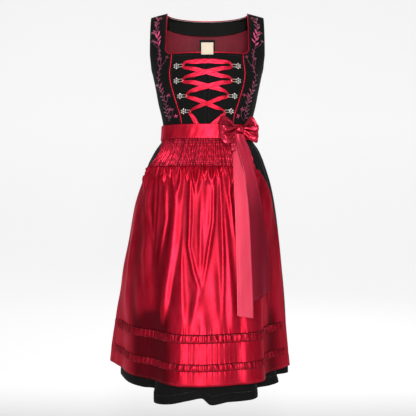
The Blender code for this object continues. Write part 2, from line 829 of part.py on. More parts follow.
def bow_knot(satin):
    """The knot, a rounded form that the loops leave on each side."""
    knot, out, sideways = bow_frame()
    points, faces = [], []
    around, across = 10, 6
    for j in range(1, across):
        polar = math.pi * j / across
        for i in range(around):
            turn = 2 * math.pi * i / around
            wide, deep, high = KNOT_SIZE
            points.append(
                knot
                + sideways * wide * math.cos(polar)
                + out * deep * math.sin(polar) * math.cos(turn)
                + Vector((0, 0, 1)) * high * math.sin(polar) * math.sin(turn)
            )
    for j in range(across - 2):
        for i in range(around):
            a, b = j * around + i, j * around + (i + 1) % around
            faces.append((a, b, b + around, a + around))
    faces.append(tuple(reversed(range(around))))
    faces.append(tuple((across - 2) * around + i for i in range(around)))
    finish("bow_knot", points, faces, satin)


def bow_loops(satin):
    """Two ribbons that run out of the knot, turn over and come back behind themselves."""
    knot, out, sideways = bow_frame()
    for name, side, length, front_tilt, back_tilt, half_width, bulge in rows_of(BOW_LOOPS):

        def ribbon(u, v, side=side, length=length, tilts=(front_tilt, back_tilt), bulge=bulge,
                   half_width=half_width):
            turn = mix(LOOP_START, 1 - LOOP_START, u) * math.pi
            start = math.sin(LOOP_START * math.pi)
            out_share = (math.sin(turn) - start) / (1 - start)
            reach = KNOT_SIZE[0] - GAP + length * out_share**0.9
            puff = math.sin(2 * math.pi * u) * (bulge if u < 0.5 else bulge * LOOP_BACK_SHARE)
            depth = LOOP_PINCH * math.cos(math.pi * u) + puff
            tilt = mix(tilts[0], tilts[1], smooth(u))
            wide = half_width * mix(LOOP_NARROW, 1.0, out_share**0.7)
            middle = Vector((side * reach, tilt * (reach - KNOT_SIZE[0])))
            lean = tilt * LOOP_LEAN
            edge = mix(-wide, wide, v)
            flat = middle + Vector((-edge * math.sin(lean) * side, edge * math.cos(lean)))
            return knot + sideways * flat.x + out * depth + Vector((0, 0, 1)) * flat.y

        half = RIBBON_WALL / 2
        wall(name, ribbon, even(14), even(4), -half, half, satin)


def bow_tails(satin):
    """The two free ends of the tie, which hang over the apron."""
    tails = (("bow_tail_front", FRONT_TAIL, FRONT_TAIL_SLANT), ("bow_tail_back", BACK_TAIL, BACK_TAIL_SLANT))
    for name, table, slant in tails:
        top, low = table[1][0], table[-1][0]

        def tail(u, v, table=table, top=top, low=low, slant=slant):
            z = mix(top, low + slant * (2 * u - 1) * v, v)
            x = mix(read(table, z, "left_x"), read(table, z, "right_x"), u)
            return hanging(x, z, read(table, z, "lift"))

        wall(name, tail, even(4), even(12), 0.0, RIBBON_WALL, satin)


def hanging(x, z, lift):
    """A point lifted from the plain apron at distance x from the centre line."""
    centre = read(SKIRT_SECTIONS, z, "centre_x")
    angle = math.asin(min(0.99, (x - centre) / section_radius(0.6, z)))
    for _ in range(6):
        radius = apron_radius(angle, z, folded=False) + lift
        angle = math.asin(min(0.99, (x - centre) / radius))
    radius = apron_radius(angle, z, folded=False) + lift
    return at_radius(angle, radius, z)


def lace_run(name, start, end, lifts, satin, rise=0.0):
    """One stretch of the flat lace between two points (x, z) on the front."""
    (x0, z0), (x1, z1) = start, end
    along = Vector((x1 - x0, z1 - z0)).normalized()
    across = Vector((-along.y, along.x))

    def ribbon(u, v):
        narrow = mix(LACE_NARROW, 1.0, smooth(min(u, 1 - u) / 0.22))
        middle = Vector((mix(x0, x1, u), mix(z0, z1, u) + rise * math.sin(math.pi * u)))
        edge = LACE_WIDTH / 2 * narrow * mix(1, -1, v)
        flat = middle + across * edge
        lift = mix(lifts[0], lifts[1], math.sin(math.pi * u) ** 2)
        return torso(flat.x, flat.y, -1) + edge_normal(flat.x, flat.y, -1) * lift

    wall(name, ribbon, even(8), even(1), BODICE_WALL, BODICE_WALL + RIBBON_WALL, satin)


def lacing(satin):
    """The lace from hook to hook: a run across the top, three crossings and two free ends."""
    tips = [(x - HOOK_REACH - 2 * GAP, z) for z, x in rows_of(HOOKS)]
    left = [(-x, z) for x, z in tips]
    low = (LACE_LOW_LIFT, LACE_LOW_LIFT)
    high = (LACE_LOW_LIFT, LACE_HIGH_LIFT)
    top_left = (left[0][0], left[0][1] + LACE_OVER_TIP)
    top_right = (tips[0][0], tips[0][1] + LACE_OVER_TIP)
    lace_run("lace_top", top_left, top_right, low, satin, rise=LACE_TOP_RISE)
    for i in range(3):
        from_left = (left[i][0], left[i][1] - LACE_BELOW_TIP)
        to_right = (tips[i + 1][0], tips[i + 1][1] + LACE_INTO_TIP)
        from_right = (tips[i][0], tips[i][1] - LACE_BELOW_TIP)
        to_left = (left[i + 1][0], left[i + 1][1] + LACE_INTO_TIP)
        first, second = (low, high) if i != 1 else (high, low)
        lace_run(f"lace_{i + 1}_down_right", from_left, to_right, first, satin)
        lace_run(f"lace_{i + 1}_down_left", to_left, from_right, second, satin)
    for name, side, low_x in rows_of(LACE_ENDS):
        start = (side * tips[3][0], tips[3][1] - LACE_OVER_TIP)
        end = (side * low_x, LACE_FREE_END_LOW_Z)
        if side > 0:
            start, end = end, start
        lace_run(f"lace_end_{name}", start, end, low, satin)


def hooks(silver):
    """Eight flat hooks: a petalled ring with a slotted tongue that points to the centre."""
    turns = []
    for k in range(HOOK_POINTS):
        share = k / HOOK_POINTS
        turns.append(2 * math.pi * (share + 0.075 * math.sin(2 * math.pi * (share + 0.5))))
    tongue_slot = HOOK_TONGUE_HALF - HOOK_WIRE

    def outline(turn, ring, reach, half):
        petal = 0.0
        if ring > HOOK_BASE_RADIUS * 0.8:
            petal = HOOK_PETAL_RISE * math.cos(HOOK_PETALS * turn + math.pi)
        radius = ring + petal
        if math.cos(turn) > 0:
            beside = half / max(abs(math.sin(turn)), 1e-6)
            ahead = reach / math.cos(turn)
            radius = max(radius, min(beside, ahead))
        return radius

    for row, (z, x) in enumerate(rows_of(HOOKS)):
        for name, side in (("left", -1), ("right", 1)):
            points = []
            for lift in (GAP, GAP + HOOK_THICK):
                for ring, reach, half in (
                    (HOOK_BASE_RADIUS, HOOK_REACH, HOOK_TONGUE_HALF),
                    (HOOK_BASE_RADIUS * 0.42, HOOK_REACH - HOOK_WIRE, tongue_slot),
                ):
                    for turn in turns:
                        radius = outline(turn, ring, reach, half)
                        here_x = side * (x - radius * math.cos(turn))
                        here_z = z + radius * math.sin(turn)
                        normal = edge_normal(here_x, here_z, -1)
                        points.append(torso(here_x, here_z, -1) + normal * (BODICE_WALL + lift))
            faces = []
            n = HOOK_POINTS
            for k in range(n):
                m = (k + 1) % n
                outer_low, inner_low, outer_top, inner_top = 0, n, 2 * n, 3 * n
                quads = (
                    (outer_top + k, outer_top + m, inner_top + m, inner_top + k),
                    (outer_low + m, outer_low + k, inner_low + k, inner_low + m),
                    (outer_low + k, outer_low + m, outer_top + m, outer_top + k),
                    (inner_low + m, inner_low + k, inner_top + k, inner_top + m),
                )
                faces += [q if side < 0 else tuple(reversed(q)) for q in quads]
            finish(f"hook_{name}_{row + 1}", points, faces, silver)


def label(black, cream):
    """A blank label on a short tab that stands up behind the neckline at the centre front."""

    def tab(u, v):
        z = mix(LABEL_TAB_TOP_Z, LABEL_TAB_LOW_Z, v)
        x = mix(-0.5, 0.5, u) * LABEL_TAB_WIDTH
        point = torso(x, min(z, NECKLINE_Z), -1)
        return Vector((x, point.y + LABEL_TAB_IN, z))

    wall("label_tab", tab, even(4), even(4), 0.0, LINING_WALL, black)

    def face(u, v):
        z = mix(LABEL_LOW_Z + LABEL_SIDE, LABEL_LOW_Z, v)
        x = mix(-0.5, 0.5, u) * LABEL_SIDE
        point = torso(x, min(z, NECKLINE_Z), -1)
        return Vector((x, point.y - LABEL_OUT, z))

    wall("label", face, even(4), even(3), 0.0, LINING_WALL, cream)


def main():
    clear_scene()
    black = cloth("black_cloth", (0.014, 0.014, 0.013), 0.85)
    maroon = cloth("maroon_lining", (0.16, 0.015, 0.028), 0.6)
    satin = cloth("red_satin", (0.50, 0.008, 0.030), 0.35)
    lace_satin = cloth("lace_satin", (0.72, 0.012, 0.075), 0.35)
    red = cloth("red_piping", (0.58, 0.028, 0.075), 0.5)
    silver = cloth("old_silver", (0.72, 0.70, 0.66), 0.3, 1.0)
    cream = cloth("cream_label", (0.80, 0.72, 0.58), 0.7)
    bodice_fronts(black)
    bodice_back(black)
    back_inside(black, maroon)
    piping(red)
    skirt(black)
    apron(satin)
    waist(satin)
    bow_knot(satin)
    bow_loops(satin)
    bow_tails(satin)
    lacing(lace_satin)
    hooks(silver)
    label(black, cream)


main()
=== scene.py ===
"""Looks of a laced dirndl with a smocked satin apron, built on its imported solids."""

import math

import bmesh
import bpy
import numpy as np
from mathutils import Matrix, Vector


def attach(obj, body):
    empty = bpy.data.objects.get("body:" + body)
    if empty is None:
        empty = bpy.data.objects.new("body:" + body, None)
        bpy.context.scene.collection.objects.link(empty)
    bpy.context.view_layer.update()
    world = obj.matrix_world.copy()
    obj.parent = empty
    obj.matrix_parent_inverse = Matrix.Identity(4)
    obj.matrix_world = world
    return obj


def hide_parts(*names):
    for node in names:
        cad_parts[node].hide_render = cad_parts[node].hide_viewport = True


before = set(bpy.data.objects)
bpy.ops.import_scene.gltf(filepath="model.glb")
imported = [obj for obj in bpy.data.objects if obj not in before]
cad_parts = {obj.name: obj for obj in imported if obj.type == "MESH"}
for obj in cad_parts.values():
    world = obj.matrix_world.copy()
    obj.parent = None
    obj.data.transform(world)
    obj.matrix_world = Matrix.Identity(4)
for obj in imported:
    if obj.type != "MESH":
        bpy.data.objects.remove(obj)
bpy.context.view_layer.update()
bpy.context.scene.view_settings.view_transform = "Standard"

# Heights, as in the part's source
RIDGE_Z = 0.002
SHOULDER_SLOPE = 0.26
NECK_RISE = 0.058
ARMPIT_Z = -0.150
ARMHOLE_LOW_Z = -0.165
ARMHOLE_BEND_Z = -0.112
NECKLINE_Z = -0.134
BACK_NECK_Z = 0.0
WAIST_Z = -0.345
BAND_TOP_Z = -0.324
BAND_LOW_Z = -0.366
YOKE_LOW_Z = -0.442
APRON_HEM_Z = -1.003
SKIRT_HEM_Z = -1.036

BODICE_WALL = 0.0015
LINING_WALL = 0.0010
SKIRT_WALL = 0.0013
APRON_WALL = 0.0011
BAND_WALL = 0.0016
BAND_LIFT = 0.0048
RIBBON_WALL = 0.0008
# Seams close up here, where the solids keep 0.3 mm between their pieces
SEAM_GAP = 0.00006

NECK_HALF = 0.1165
STRAP_OUTER = 0.162
CORNER_RADIUS = 0.018
RING_POWER = 2.2
FRONT_DROP_POWER = 1.5
FRONT_ROUND_POWER = 1.7
BACK_DROP_POWER = 3.0
BACK_ROUND_POWER = 2.0

BODICE_SECTIONS = (
    ("z", "half_width", "front", "back"),
    (-0.366, 0.1285, 0.0960, 0.0900),
    (-0.345, 0.1265, 0.0950, 0.0885),
    (-0.318, 0.1270, 0.0985, 0.0890),
    (-0.290, 0.1320, 0.1040, 0.0915),
    (-0.260, 0.1395, 0.1120, 0.0945),
    (-0.230, 0.1450, 0.1190, 0.0980),
    (-0.200, 0.1510, 0.1225, 0.1010),
    (-0.174, 0.1565, 0.1210, 0.1030),
    (-0.150, 0.1640, 0.1180, 0.1040),
    (-0.120, 0.1710, 0.1160, 0.1040),
    (0.080, 0.1740, 0.1160, 0.1040),
)
SKIRT_SECTIONS = (
    ("z", "centre_x", "half_width", "front", "back"),
    (-0.345, 0.000, 0.1265, 0.0950, 0.0885),
    (-0.366, 0.000, 0.1295, 0.0985, 0.0925),
    (-0.391, -0.001, 0.1440, 0.1090, 0.1080),
    (-0.414, -0.002, 0.1560, 0.1190, 0.1210),
    (-0.437, -0.003, 0.1660, 0.1290, 0.1320),
    (-0.484, -0.003, 0.1820, 0.1460, 0.1490),
    (-0.553, -0.004, 0.1985, 0.1650, 0.1680),
    (-0.646, -0.005, 0.2130, 0.1860, 0.1880),
    (-0.739, -0.006, 0.2240, 0.2040, 0.2050),
    (-0.832, -0.006, 0.2330, 0.2190, 0.2180),
    (-0.948, -0.006, 0.2400, 0.2340, 0.2290),
    (-1.060, -0.006, 0.2450, 0.2440, 0.2370),
)
SKIRT_FOLDS = (
    ("angle", "inset", "kick", "drop"),
    (-180, 0.004, 0.000, 0.000),
    (-166, 0.036, 0.000, -0.004),
    (-152, 0.002, 0.000, 0.002),
    (-138, 0.034, 0.000, -0.003),
    (-124, 0.002, 0.000, 0.002),
    (-110, 0.030, 0.000, -0.004),
    (-93, 0.000, 0.000, 0.000),
    (-80, 0.012, 0.000, 0.002),
    (-68, 0.024, 0.000, 0.004),
    (-52, 0.042, 0.000, 0.003),
    (-43, 0.058, 0.000, 0.004),
    (-33, 0.018, 0.006, 0.022),
    (-22, 0.006, 0.004, 0.018),
    (-10, 0.005, 0.002, 0.006),
    (-2, 0.010, 0.002, 0.001),
    (4, 0.009, 0.010, 0.015),
    (15, 0.014, 0.010, 0.010),
    (28, 0.012, 0.006, 0.011),
    (35, 0.022, 0.006, 0.011),
    (45, 0.060, 0.006, 0.002),
    (57, 0.050, 0.010, 0.003),
    (67, 0.040, 0.010, 0.003),
    (78, 0.046, 0.000, -0.004),
    (90, 0.006, 0.000, -0.002),
    (106, 0.032, 0.000, -0.004),
    (121, 0.002, 0.000, 0.002),
    (136, 0.036, 0.000, -0.003),
    (151, 0.002, 0.000, 0.002),
    (166, 0.034, 0.000, -0.004),
    (180, 0.004, 0.000, 0.000),
)
SKIRT_FOLD_TOP_Z = -0.380
SKIRT_FOLD_POWER = 1.25
SKIRT_KICK_TOP_Z = APRON_HEM_Z - 0.004
SKIRT_KICK_FALL = 0.035
SKIRT_GATHERS = 44
APRON_HEM = (
    ("angle", "stand_out"),
    (-100, 0.034),
    (-92, 0.027),
    (-84, 0.008),
    (-70, -0.012),
    (-47, -0.012),
    (-33, -0.006),
    (-20, 0.004),
    (-5, 0.008),
    (7, 0.002),
    (21, -0.004),
    (33, 0.000),
    (39, -0.008),
    (51, -0.044),
    (60, -0.040),
    (70, -0.026),
    (84, -0.002),
    (96, 0.004),
)
APRON_CLEARANCE = 0.0045
APRON_HEM_SHAPE_TOP_Z = -0.50
APRON_EDGE_POWER = 0.7
APRON_LEFT_EDGE = (-71, -92)
APRON_RIGHT_EDGE = (61, 80)
# How many degrees the right edge is drawn in behind the bow, where the black skirt shows beside it
APRON_TOP_INSET = 7
APRON_INSET_FALL = 0.036
# Folds of the apron, each a ridge along a few points, as seen from the front: the distance from the
# centre line, the height, how far the ridge stands out and its half width there
APRON_FOLDS = {
    "left edge": (
        (-0.196, -0.560, 0.004, 0.010), (-0.214, -0.700, 0.007, 0.011), (-0.222, -0.840, 0.003, 0.011),
    ),
    "left panel": (
        (-0.152, -0.600, 0.003, 0.014), (-0.164, -0.680, 0.009, 0.016), (-0.156, -0.870, 0.003, 0.016),
    ),
    "left drop, outer": (
        (-0.152, -0.462, 0.003, 0.005), (-0.163, -0.545, 0.006, 0.005), (-0.144, -0.652, 0.003, 0.004),
    ),
    "left drop, inner": (
        (-0.140, -0.462, 0.003, 0.004), (-0.142, -0.560, 0.006, 0.005), (-0.144, -0.652, 0.004, 0.004),
    ),
    "left crease": (
        (-0.128, -0.470, 0.003, 0.004), (-0.133, -0.590, 0.005, 0.005), (-0.142, -0.720, 0.001, 0.004),
    ),
    "beside the main fold": (
        (-0.112, -0.500, 0.003, 0.005), (-0.110, -0.585, 0.005, 0.005), (-0.135, -0.730, 0.001, 0.006),
    ),
    "main fold": (
        (-0.080, -0.500, 0.005, 0.012), (-0.088, -0.610, 0.013, 0.014), (-0.100, -0.725, 0.015, 0.013),
        (-0.111, -0.800, 0.011, 0.011), (-0.124, -0.885, 0.001, 0.006),
    ),
    "beside the valley": (
        (-0.062, -0.560, 0.001, 0.006), (-0.066, -0.700, 0.004, 0.006), (-0.060, -0.860, 0.001, 0.008),
    ),
    "middle drop, left": (
        (-0.044, -0.470, 0.004, 0.005), (-0.046, -0.585, 0.007, 0.006), (-0.049, -0.655, 0.007, 0.006),
        (-0.034, -0.722, 0.006, 0.006), (-0.016, -0.772, 0.001, 0.006),
    ),
    "inside the drop": (
        (-0.016, -0.510, 0.001, 0.006), (-0.018, -0.620, 0.004, 0.006), (-0.017, -0.730, 0.001, 0.006),
    ),
    "middle drop, right": (
        (0.018, -0.490, 0.004, 0.006), (0.016, -0.590, 0.007, 0.006), (-0.014, -0.772, 0.001, 0.006),
    ),
    "below the middle drop": (
        (-0.022, -0.760, 0.001, 0.009), (-0.034, -0.815, 0.007, 0.011), (-0.043, -0.890, 0.001, 0.012),
    ),
    "right ridge": (
        (0.034, -0.480, 0.003, 0.005), (0.040, -0.670, 0.007, 0.006), (0.041, -0.860, 0.001, 0.007),
    ),
    "right swell": (
        (0.058, -0.680, 0.001, 0.012), (0.063, -0.810, 0.007, 0.015), (0.064, -0.890, 0.001, 0.015),
    ),
    "under the tail": (
        (0.048, -0.452, 0.004, 0.005), (0.062, -0.540, 0.007, 0.006), (0.072, -0.640, 0.002, 0.006),
    ),
    "right of the tail": (
        (0.128, -0.500, 0.003, 0.009), (0.146, -0.660, 0.007, 0.009), (0.150, -0.850, 0.001, 0.010),
    ),
    "right crease": (
        (0.158, -0.560, 0.001, 0.005), (0.166, -0.740, 0.005, 0.004), (0.167, -0.830, 0.001, 0.004),
    ),
    "left edge of the hem's front": (
        (-0.064, -0.860, 0.001, 0.010), (-0.067, -0.920, 0.004, 0.016), (-0.070, -1.010, 0.005, 0.016),
    ),
    "right edge of the hem's front": (
        (0.100, -0.850, 0.001, 0.012), (0.100, -0.920, 0.005, 0.016), (0.102, -1.010, 0.006, 0.016),
    ),
}
# Gathers that end in a round drop under the yoke: place, how far down it reaches and its half width
APRON_DROPS = (
    ("x", "low_z", "half_width"),
    (-0.172, -0.500, 0.008),
    (-0.118, -0.482, 0.007),
    (-0.101, -0.470, 0.006),
    (-0.080, -0.528, 0.014),
    (-0.055, -0.474, 0.006),
    (-0.030, -0.503, 0.010),
    (-0.008, -0.472, 0.007),
    (0.011, -0.487, 0.011),
    (0.031, -0.470, 0.006),
    (0.062, -0.500, 0.009),
    (0.085, -0.480, 0.009),
    (0.108, -0.508, 0.010),
    (0.132, -0.486, 0.008),
)
# Broad hollows beside the flat front of the hem, which turn the cloth away from the light
HEM_HOLLOWS = (
    ("x", "half_width", "depth"),
    (-0.150, 0.036, 0.016),
    (0.178, 0.020, 0.004),
)
HEM_HOLLOW_TOP_Z = -0.80
# The middle and half width of the flat front of the hem, where the ruches stand out most
HEM_FRONT_X = 0.0175
HEM_FRONT_HALF = 0.105
# A trough beside each ridge, as shares of its height and width, and the deepest that the cloth may dip
FOLD_TROUGH = 0.50
FOLD_TROUGH_WIDTH = 2.3
DEEPEST_DIP = 0.0036
DROP_RIM = 0.0062
DROP_HOLLOW = 0.0030
SMALL_CREASES = 9
# Seed, low and high of the small creases' place, height, upper end, length, half width and lean
SMALL_CREASE_RANGES = (
    (21, -86, 76),
    (22, 0.0012, 0.0030),
    (23, -0.66, -0.46),
    (24, 0.14, 0.34),
    (25, 1.8, 3.4),
    (26, -14, 14),
)
YOKE_GATHERS = 46
# How far the yoke's left side is drawn in between the waistband and the apron's top, as an angle
YOKE_SIDE_INSET = math.radians(9)
RUCHES = (
    ("name", "top_z", "low_z"),
    ("apron_ruche_upper", -0.876, -0.897),
    ("apron_ruche_lower", -0.949, -0.966),
)
RUCHE_PULL = 0.0007
RUCHE_SEAM_DIP = 0.0010
FRONT_SEAM = (
    ("z", "x"),
    (-0.345, 0.068),
    (-0.327, 0.069),
    (-0.299, 0.074),
    (-0.260, 0.086),
    (-0.217, 0.098),
    (-0.187, 0.102),
    (-0.152, 0.098),
    (-0.134, 0.097),
)
BACK_SEAM = (
    ("z", "x"),
    (-0.345, 0.048),
    (-0.290, 0.058),
    (-0.230, 0.080),
    (-0.180, 0.106),
    (-0.140, 0.134),
    (-0.100, 0.1600),
)
BACK_SEAM_TOP_Z = -0.100
FACING_DEPTH = 0.040
FACING_SIDE_RISE = 0.012
LINING_LOW_Z = -0.335
LINING_GAP = 0.0037
FACING_GAP = 0.0029
PIPING_RADIUS = 0.0015
PIPING_GAP = 0.0006
HOOKS = (
    ("z", "x"),
    (-0.168, 0.0840),
    (-0.208, 0.0840),
    (-0.249, 0.0745),
    (-0.290, 0.0650),
)
HOOK_REACH = 0.0205
LACE_WIDTH = 0.0125
LABEL_SIDE = 0.033
LABEL_LOW_Z = -0.1385
LABEL_OUT = 0.0020
LABEL_TAB_WIDTH = 0.042
LABEL_TAB_TOP_Z = -0.098
LABEL_TAB_LOW_Z = -0.150
LABEL_TAB_IN = 0.0032
KNOT_X = 0.0835
KNOT_Z = -0.3400
KNOT_LIFT = 0.0142
FRONT_TAIL = (
    ("z", "left_x", "right_x", "lift"),
    (-0.3515, 0.0720, 0.0850, 0.0070),
    (-0.400, 0.0705, 0.0940, 0.0085),
    (-0.440, 0.0700, 0.0985, 0.0102),
    (-0.470, 0.0700, 0.1015, 0.0118),
    (-0.550, 0.0725, 0.1095, 0.0160),
    (-0.690, 0.0750, 0.1150, 0.0170),
    (-0.833, 0.0765, 0.1185, 0.0150),
)
BACK_TAIL = (
    ("z", "left_x", "right_x", "lift"),
    (-0.3515, 0.0770, 0.1020, 0.0120),
    (-0.400, 0.0855, 0.1180, 0.0130),
    (-0.440, 0.0950, 0.1255, 0.0126),
    (-0.470, 0.1018, 0.1320, 0.0118),
    (-0.550, 0.1060, 0.1480, 0.0100),
    (-0.690, 0.1110, 0.1680, 0.0105),
    (-0.790, 0.1130, 0.1690, 0.0100),
)

# Each kind of sewing: its pitch, how far it stands off, and its stitch's length and thickness
SEWING = {
    "skirt": (0.0042, 0.0001, 0.0031, 0.00055),
    "smocking": (0.0034, 0.00015, 0.0026, 0.0004),
    "panel": (0.0036, 0.0001, 0.0028, 0.0005),
    "ruche": (0.0032, 0.0001, 0.0025, 0.0005),
    "bodice": (0.0032, 0.0, 0.0024, 0.0005),
    "facing": (0.0034, 0.0, 0.0026, 0.0005),
    "band": (0.0034, 0.0001, 0.0027, 0.0005),
    "bow": (0.0034, 0.00005, 0.0026, 0.00045),
    "label": (0.0024, 0.0, 0.0018, 0.0004),
    "stem": (0.00125, 0.0, 0.0027, 0.00115),
}
SIDES = {-1: "left", 1: "right"}

# The camera, level, at the photograph's distance and framing on a square picture
CAMERA_AT = (0.0020, -1.900, -0.507)
CAMERA_LENS = 56.7
CAMERA_SHIFT_Y = -0.0433
FLOOR_Z = -1.38
# The lights, all turned to the middle of the dress: place, width and height, and power
AIM = (0, 0, -0.45)
LIGHTS = (
    ("name", "place", "size", "power"),
    ("key", (0.10, -2.7, -0.05), (0.50, 2.4), 100),
    ("left", (-2.2, -1.3, 0.3), (0.4, 1.6), 3),
    ("right", (2.2, -1.3, 0.0), (0.4, 1.8), 3),
    ("top", (0.2, -0.2, 2.2), (1.8, 1.4), 10),
    ("rear", (0.6, 2.4, 0.8), (1.6, 1.6), 25),
)
WORLD_STRENGTH = 0.15


def rows_of(table):
    """The rows under a table's line of column names."""
    return table[1:]


def curve(share, span, low, high, low_slope, high_slope):
    """Values on a smooth curve between two points with their slopes, at a share of the span between them."""
    square, cube = share**2, share**3
    return (
        (2 * cube - 3 * square + 1) * low
        + (cube - 2 * square + share) * span * low_slope
        + (3 * square - 2 * cube) * high
        + (cube - square) * span * high_slope
    )


def read(table, key, name):
    """A column's values at the keys, on a smooth curve through the rows, as the part's source reads it."""
    rows = np.array(sorted(rows_of(table)), float)
    xs, ys = rows[:, 0], rows[:, table[0].index(name)]
    steps = np.diff(ys)
    slopes = np.zeros(len(xs))
    keeps = steps[:-1] * steps[1:] > 0
    slopes[1:-1] = np.where(keeps, (ys[2:] - ys[:-2]) / (xs[2:] - xs[:-2]), 0.0)
    key = np.clip(np.asarray(key, float), xs[0], xs[-1])
    low = np.clip(np.searchsorted(xs, key, side="left") - 1, 0, len(xs) - 2)
    span = xs[low + 1] - xs[low]
    return curve((key - xs[low]) / span, span, ys[low], ys[low + 1], slopes[low], slopes[low + 1])


def reach_along(path):
    """How far along a path each of its points lies."""
    return np.concatenate([[0], np.cumsum(np.linalg.norm(np.diff(path, axis=0), axis=1))])


def spaced(values, reach, at):
    """The columns of values, given at distances along a path, at other distances."""
    return np.stack([np.interp(at, reach, column) for column in values.T], -1)


def smooth_way(table, count):
    """A table's rows as a smooth way, at even steps of its length."""
    rows = np.array(rows_of(table), float)
    reach = reach_along(rows[:, :2])
    at = np.linspace(0, reach[-1], count)
    low = np.clip(np.searchsorted(reach, at, side="right") - 1, 0, len(reach) - 2)
    slopes = np.gradient(rows, reach, axis=0)
    span = (reach[low + 1] - reach[low])[:, None]
    share = (at - reach[low])[:, None] / span
    return curve(share, span, rows[low], rows[low + 1], slopes[low], slopes[low + 1])


def mix(low, high, share):
    return low + (high - low) * share


def smooth(share):
    share = np.clip(share, 0.0, 1.0)
    return share * share * (3 - 2 * share)


def bell(distance, half_width, power=2.0):
    return np.exp(-(np.abs(distance / half_width) ** power))


def ridge_z(x):
    inside = np.maximum(0.0, 1 - (x / NECK_HALF) ** 2)
    outside = np.maximum(0.0, np.abs(x) - NECK_HALF)
    return RIDGE_Z + NECK_RISE * inside - SHOULDER_SLOPE * outside


def torso(x, z, face):
    """Points of the bodice's inner face at distance x from the centre line; face is -1 in front."""
    x, z, face = np.broadcast_arrays(np.asarray(x, float), np.asarray(z, float), np.asarray(face, float))
    half_width = read(BODICE_SECTIONS, z, "half_width")
    depth = np.where(face < 0, read(BODICE_SECTIONS, z, "front"), read(BODICE_SECTIONS, z, "back"))
    round_share = np.maximum(0.0, 1 - (np.abs(x) / half_width) ** RING_POWER) ** (1 / RING_POWER)
    rise = np.clip((z - ARMPIT_Z) / (ridge_z(x) - ARMPIT_Z), 0.0, 1.0)
    drop_power = np.where(face < 0, FRONT_DROP_POWER, BACK_DROP_POWER)
    round_power = np.where(face < 0, FRONT_ROUND_POWER, BACK_ROUND_POWER)
    fall = np.maximum(0.0, 1 - rise**drop_power) ** (1 / round_power)
    y = face * np.maximum(depth * round_share * fall, SEAM_GAP / 2)
    return np.stack([x, y, z], -1)


def torso_facing(x, z, face, step):
    """Outward facings of the bodice's inner face at distance x from the centre line."""
    along = torso(x + step, z, face) - torso(x - step, z, face)
    up = torso(x, z + step, face) - torso(x, z - step, face)
    out = unit(np.cross(along, up))
    return out * np.where(out[..., 1:2] * face < 0, -1, 1)


def on_front(x, z):
    """Points of the front's inner face and their outward facings."""
    x, z = np.broadcast_arrays(np.asarray(x, float), np.asarray(z, float))
    return torso(x, z, -1), torso_facing(x, z, -1, 3e-4)


def inside_back(x, z, depth):
    """Points inside the back at a depth from its inner face, with facings towards the front."""
    out = torso_facing(x, z, 1, 4e-4)
    return torso(x, z, 1) - out * depth, -out


def torso_round(angle, z):
    """The same surface by its angle from the front, round the side."""
    half_width = read(BODICE_SECTIONS, z, "half_width")
    across = np.abs(np.sin(angle)) ** (2 / RING_POWER) * half_width
    return torso(np.copysign(across, np.sin(angle)), z, np.where(np.cos(angle) > 0, -1, 1))


def round_facing(angle, z):
    """Outward facings of that surface by its angle."""
    around = torso_round(angle + 2e-3, z) - torso_round(angle - 2e-3, z)
    up = torso_round(angle, z + 1e-3) - torso_round(angle, z - 1e-3)
    facing = unit(np.cross(around, up))
    outward = np.stack([np.sin(angle), -np.cos(angle), 0 * z], -1)
    return facing * np.sign(np.sum(facing * outward, -1, keepdims=True) + 1e-9)


def angle_of(x, z):
    half_width = read(BODICE_SECTIONS, z, "half_width")
    return np.arcsin(np.minimum(1.0, (np.abs(x) / half_width) ** (RING_POWER / 2)))


def armhole_angle(z):
    straight = angle_of(STRAP_OUTER, np.maximum(z, ARMHOLE_BEND_Z))
    fall = np.clip((ARMHOLE_BEND_Z - z) / (ARMHOLE_BEND_Z - ARMHOLE_LOW_Z), 0.0, 1.0)
    return mix(straight, math.pi / 2, 1 - np.sqrt(1 - fall**2))


def neck_edge_x(z):
    rest = np.clip(CORNER_RADIUS - (z - NECKLINE_Z), 0.0, CORNER_RADIUS)
    return NECK_HALF - CORNER_RADIUS + np.sqrt(CORNER_RADIUS**2 - rest**2)


def section_radius(angle, z):
    side = read(SKIRT_SECTIONS, z, "half_width")
    front = read(SKIRT_SECTIONS, z, "front")
    back = read(SKIRT_SECTIONS, z, "back")
    depth = np.where(np.cos(angle) > 0, front, back)
    across = (np.abs(np.sin(angle)) / side) ** RING_POWER
    along = (np.abs(np.cos(angle)) / depth) ** RING_POWER
    return (across + along) ** (-1 / RING_POWER)


def at_radius(angle, radius, z):
    centre = read(SKIRT_SECTIONS, z, "centre_x")
    return np.stack([centre + radius * np.sin(angle), -radius * np.cos(angle), z + 0 * radius], -1)


def uneven(seed, count, low, high):
    """Fixed, uneven values between low and high."""
    return np.random.default_rng(seed).uniform(low, high, count)


def uneven_rows(count, *columns):
    """Rows of fixed, uneven values, each column from its seed, low and high."""
    return zip(*(uneven(seed, count, low, high) for seed, low, high in columns))


def scattered(seed, count, low, high, start=0.5):
    """Places at nearly even steps from low to high."""
    return low + (np.arange(count) + start + uneven(seed, count, -0.3, 0.3)) * (high - low) / count


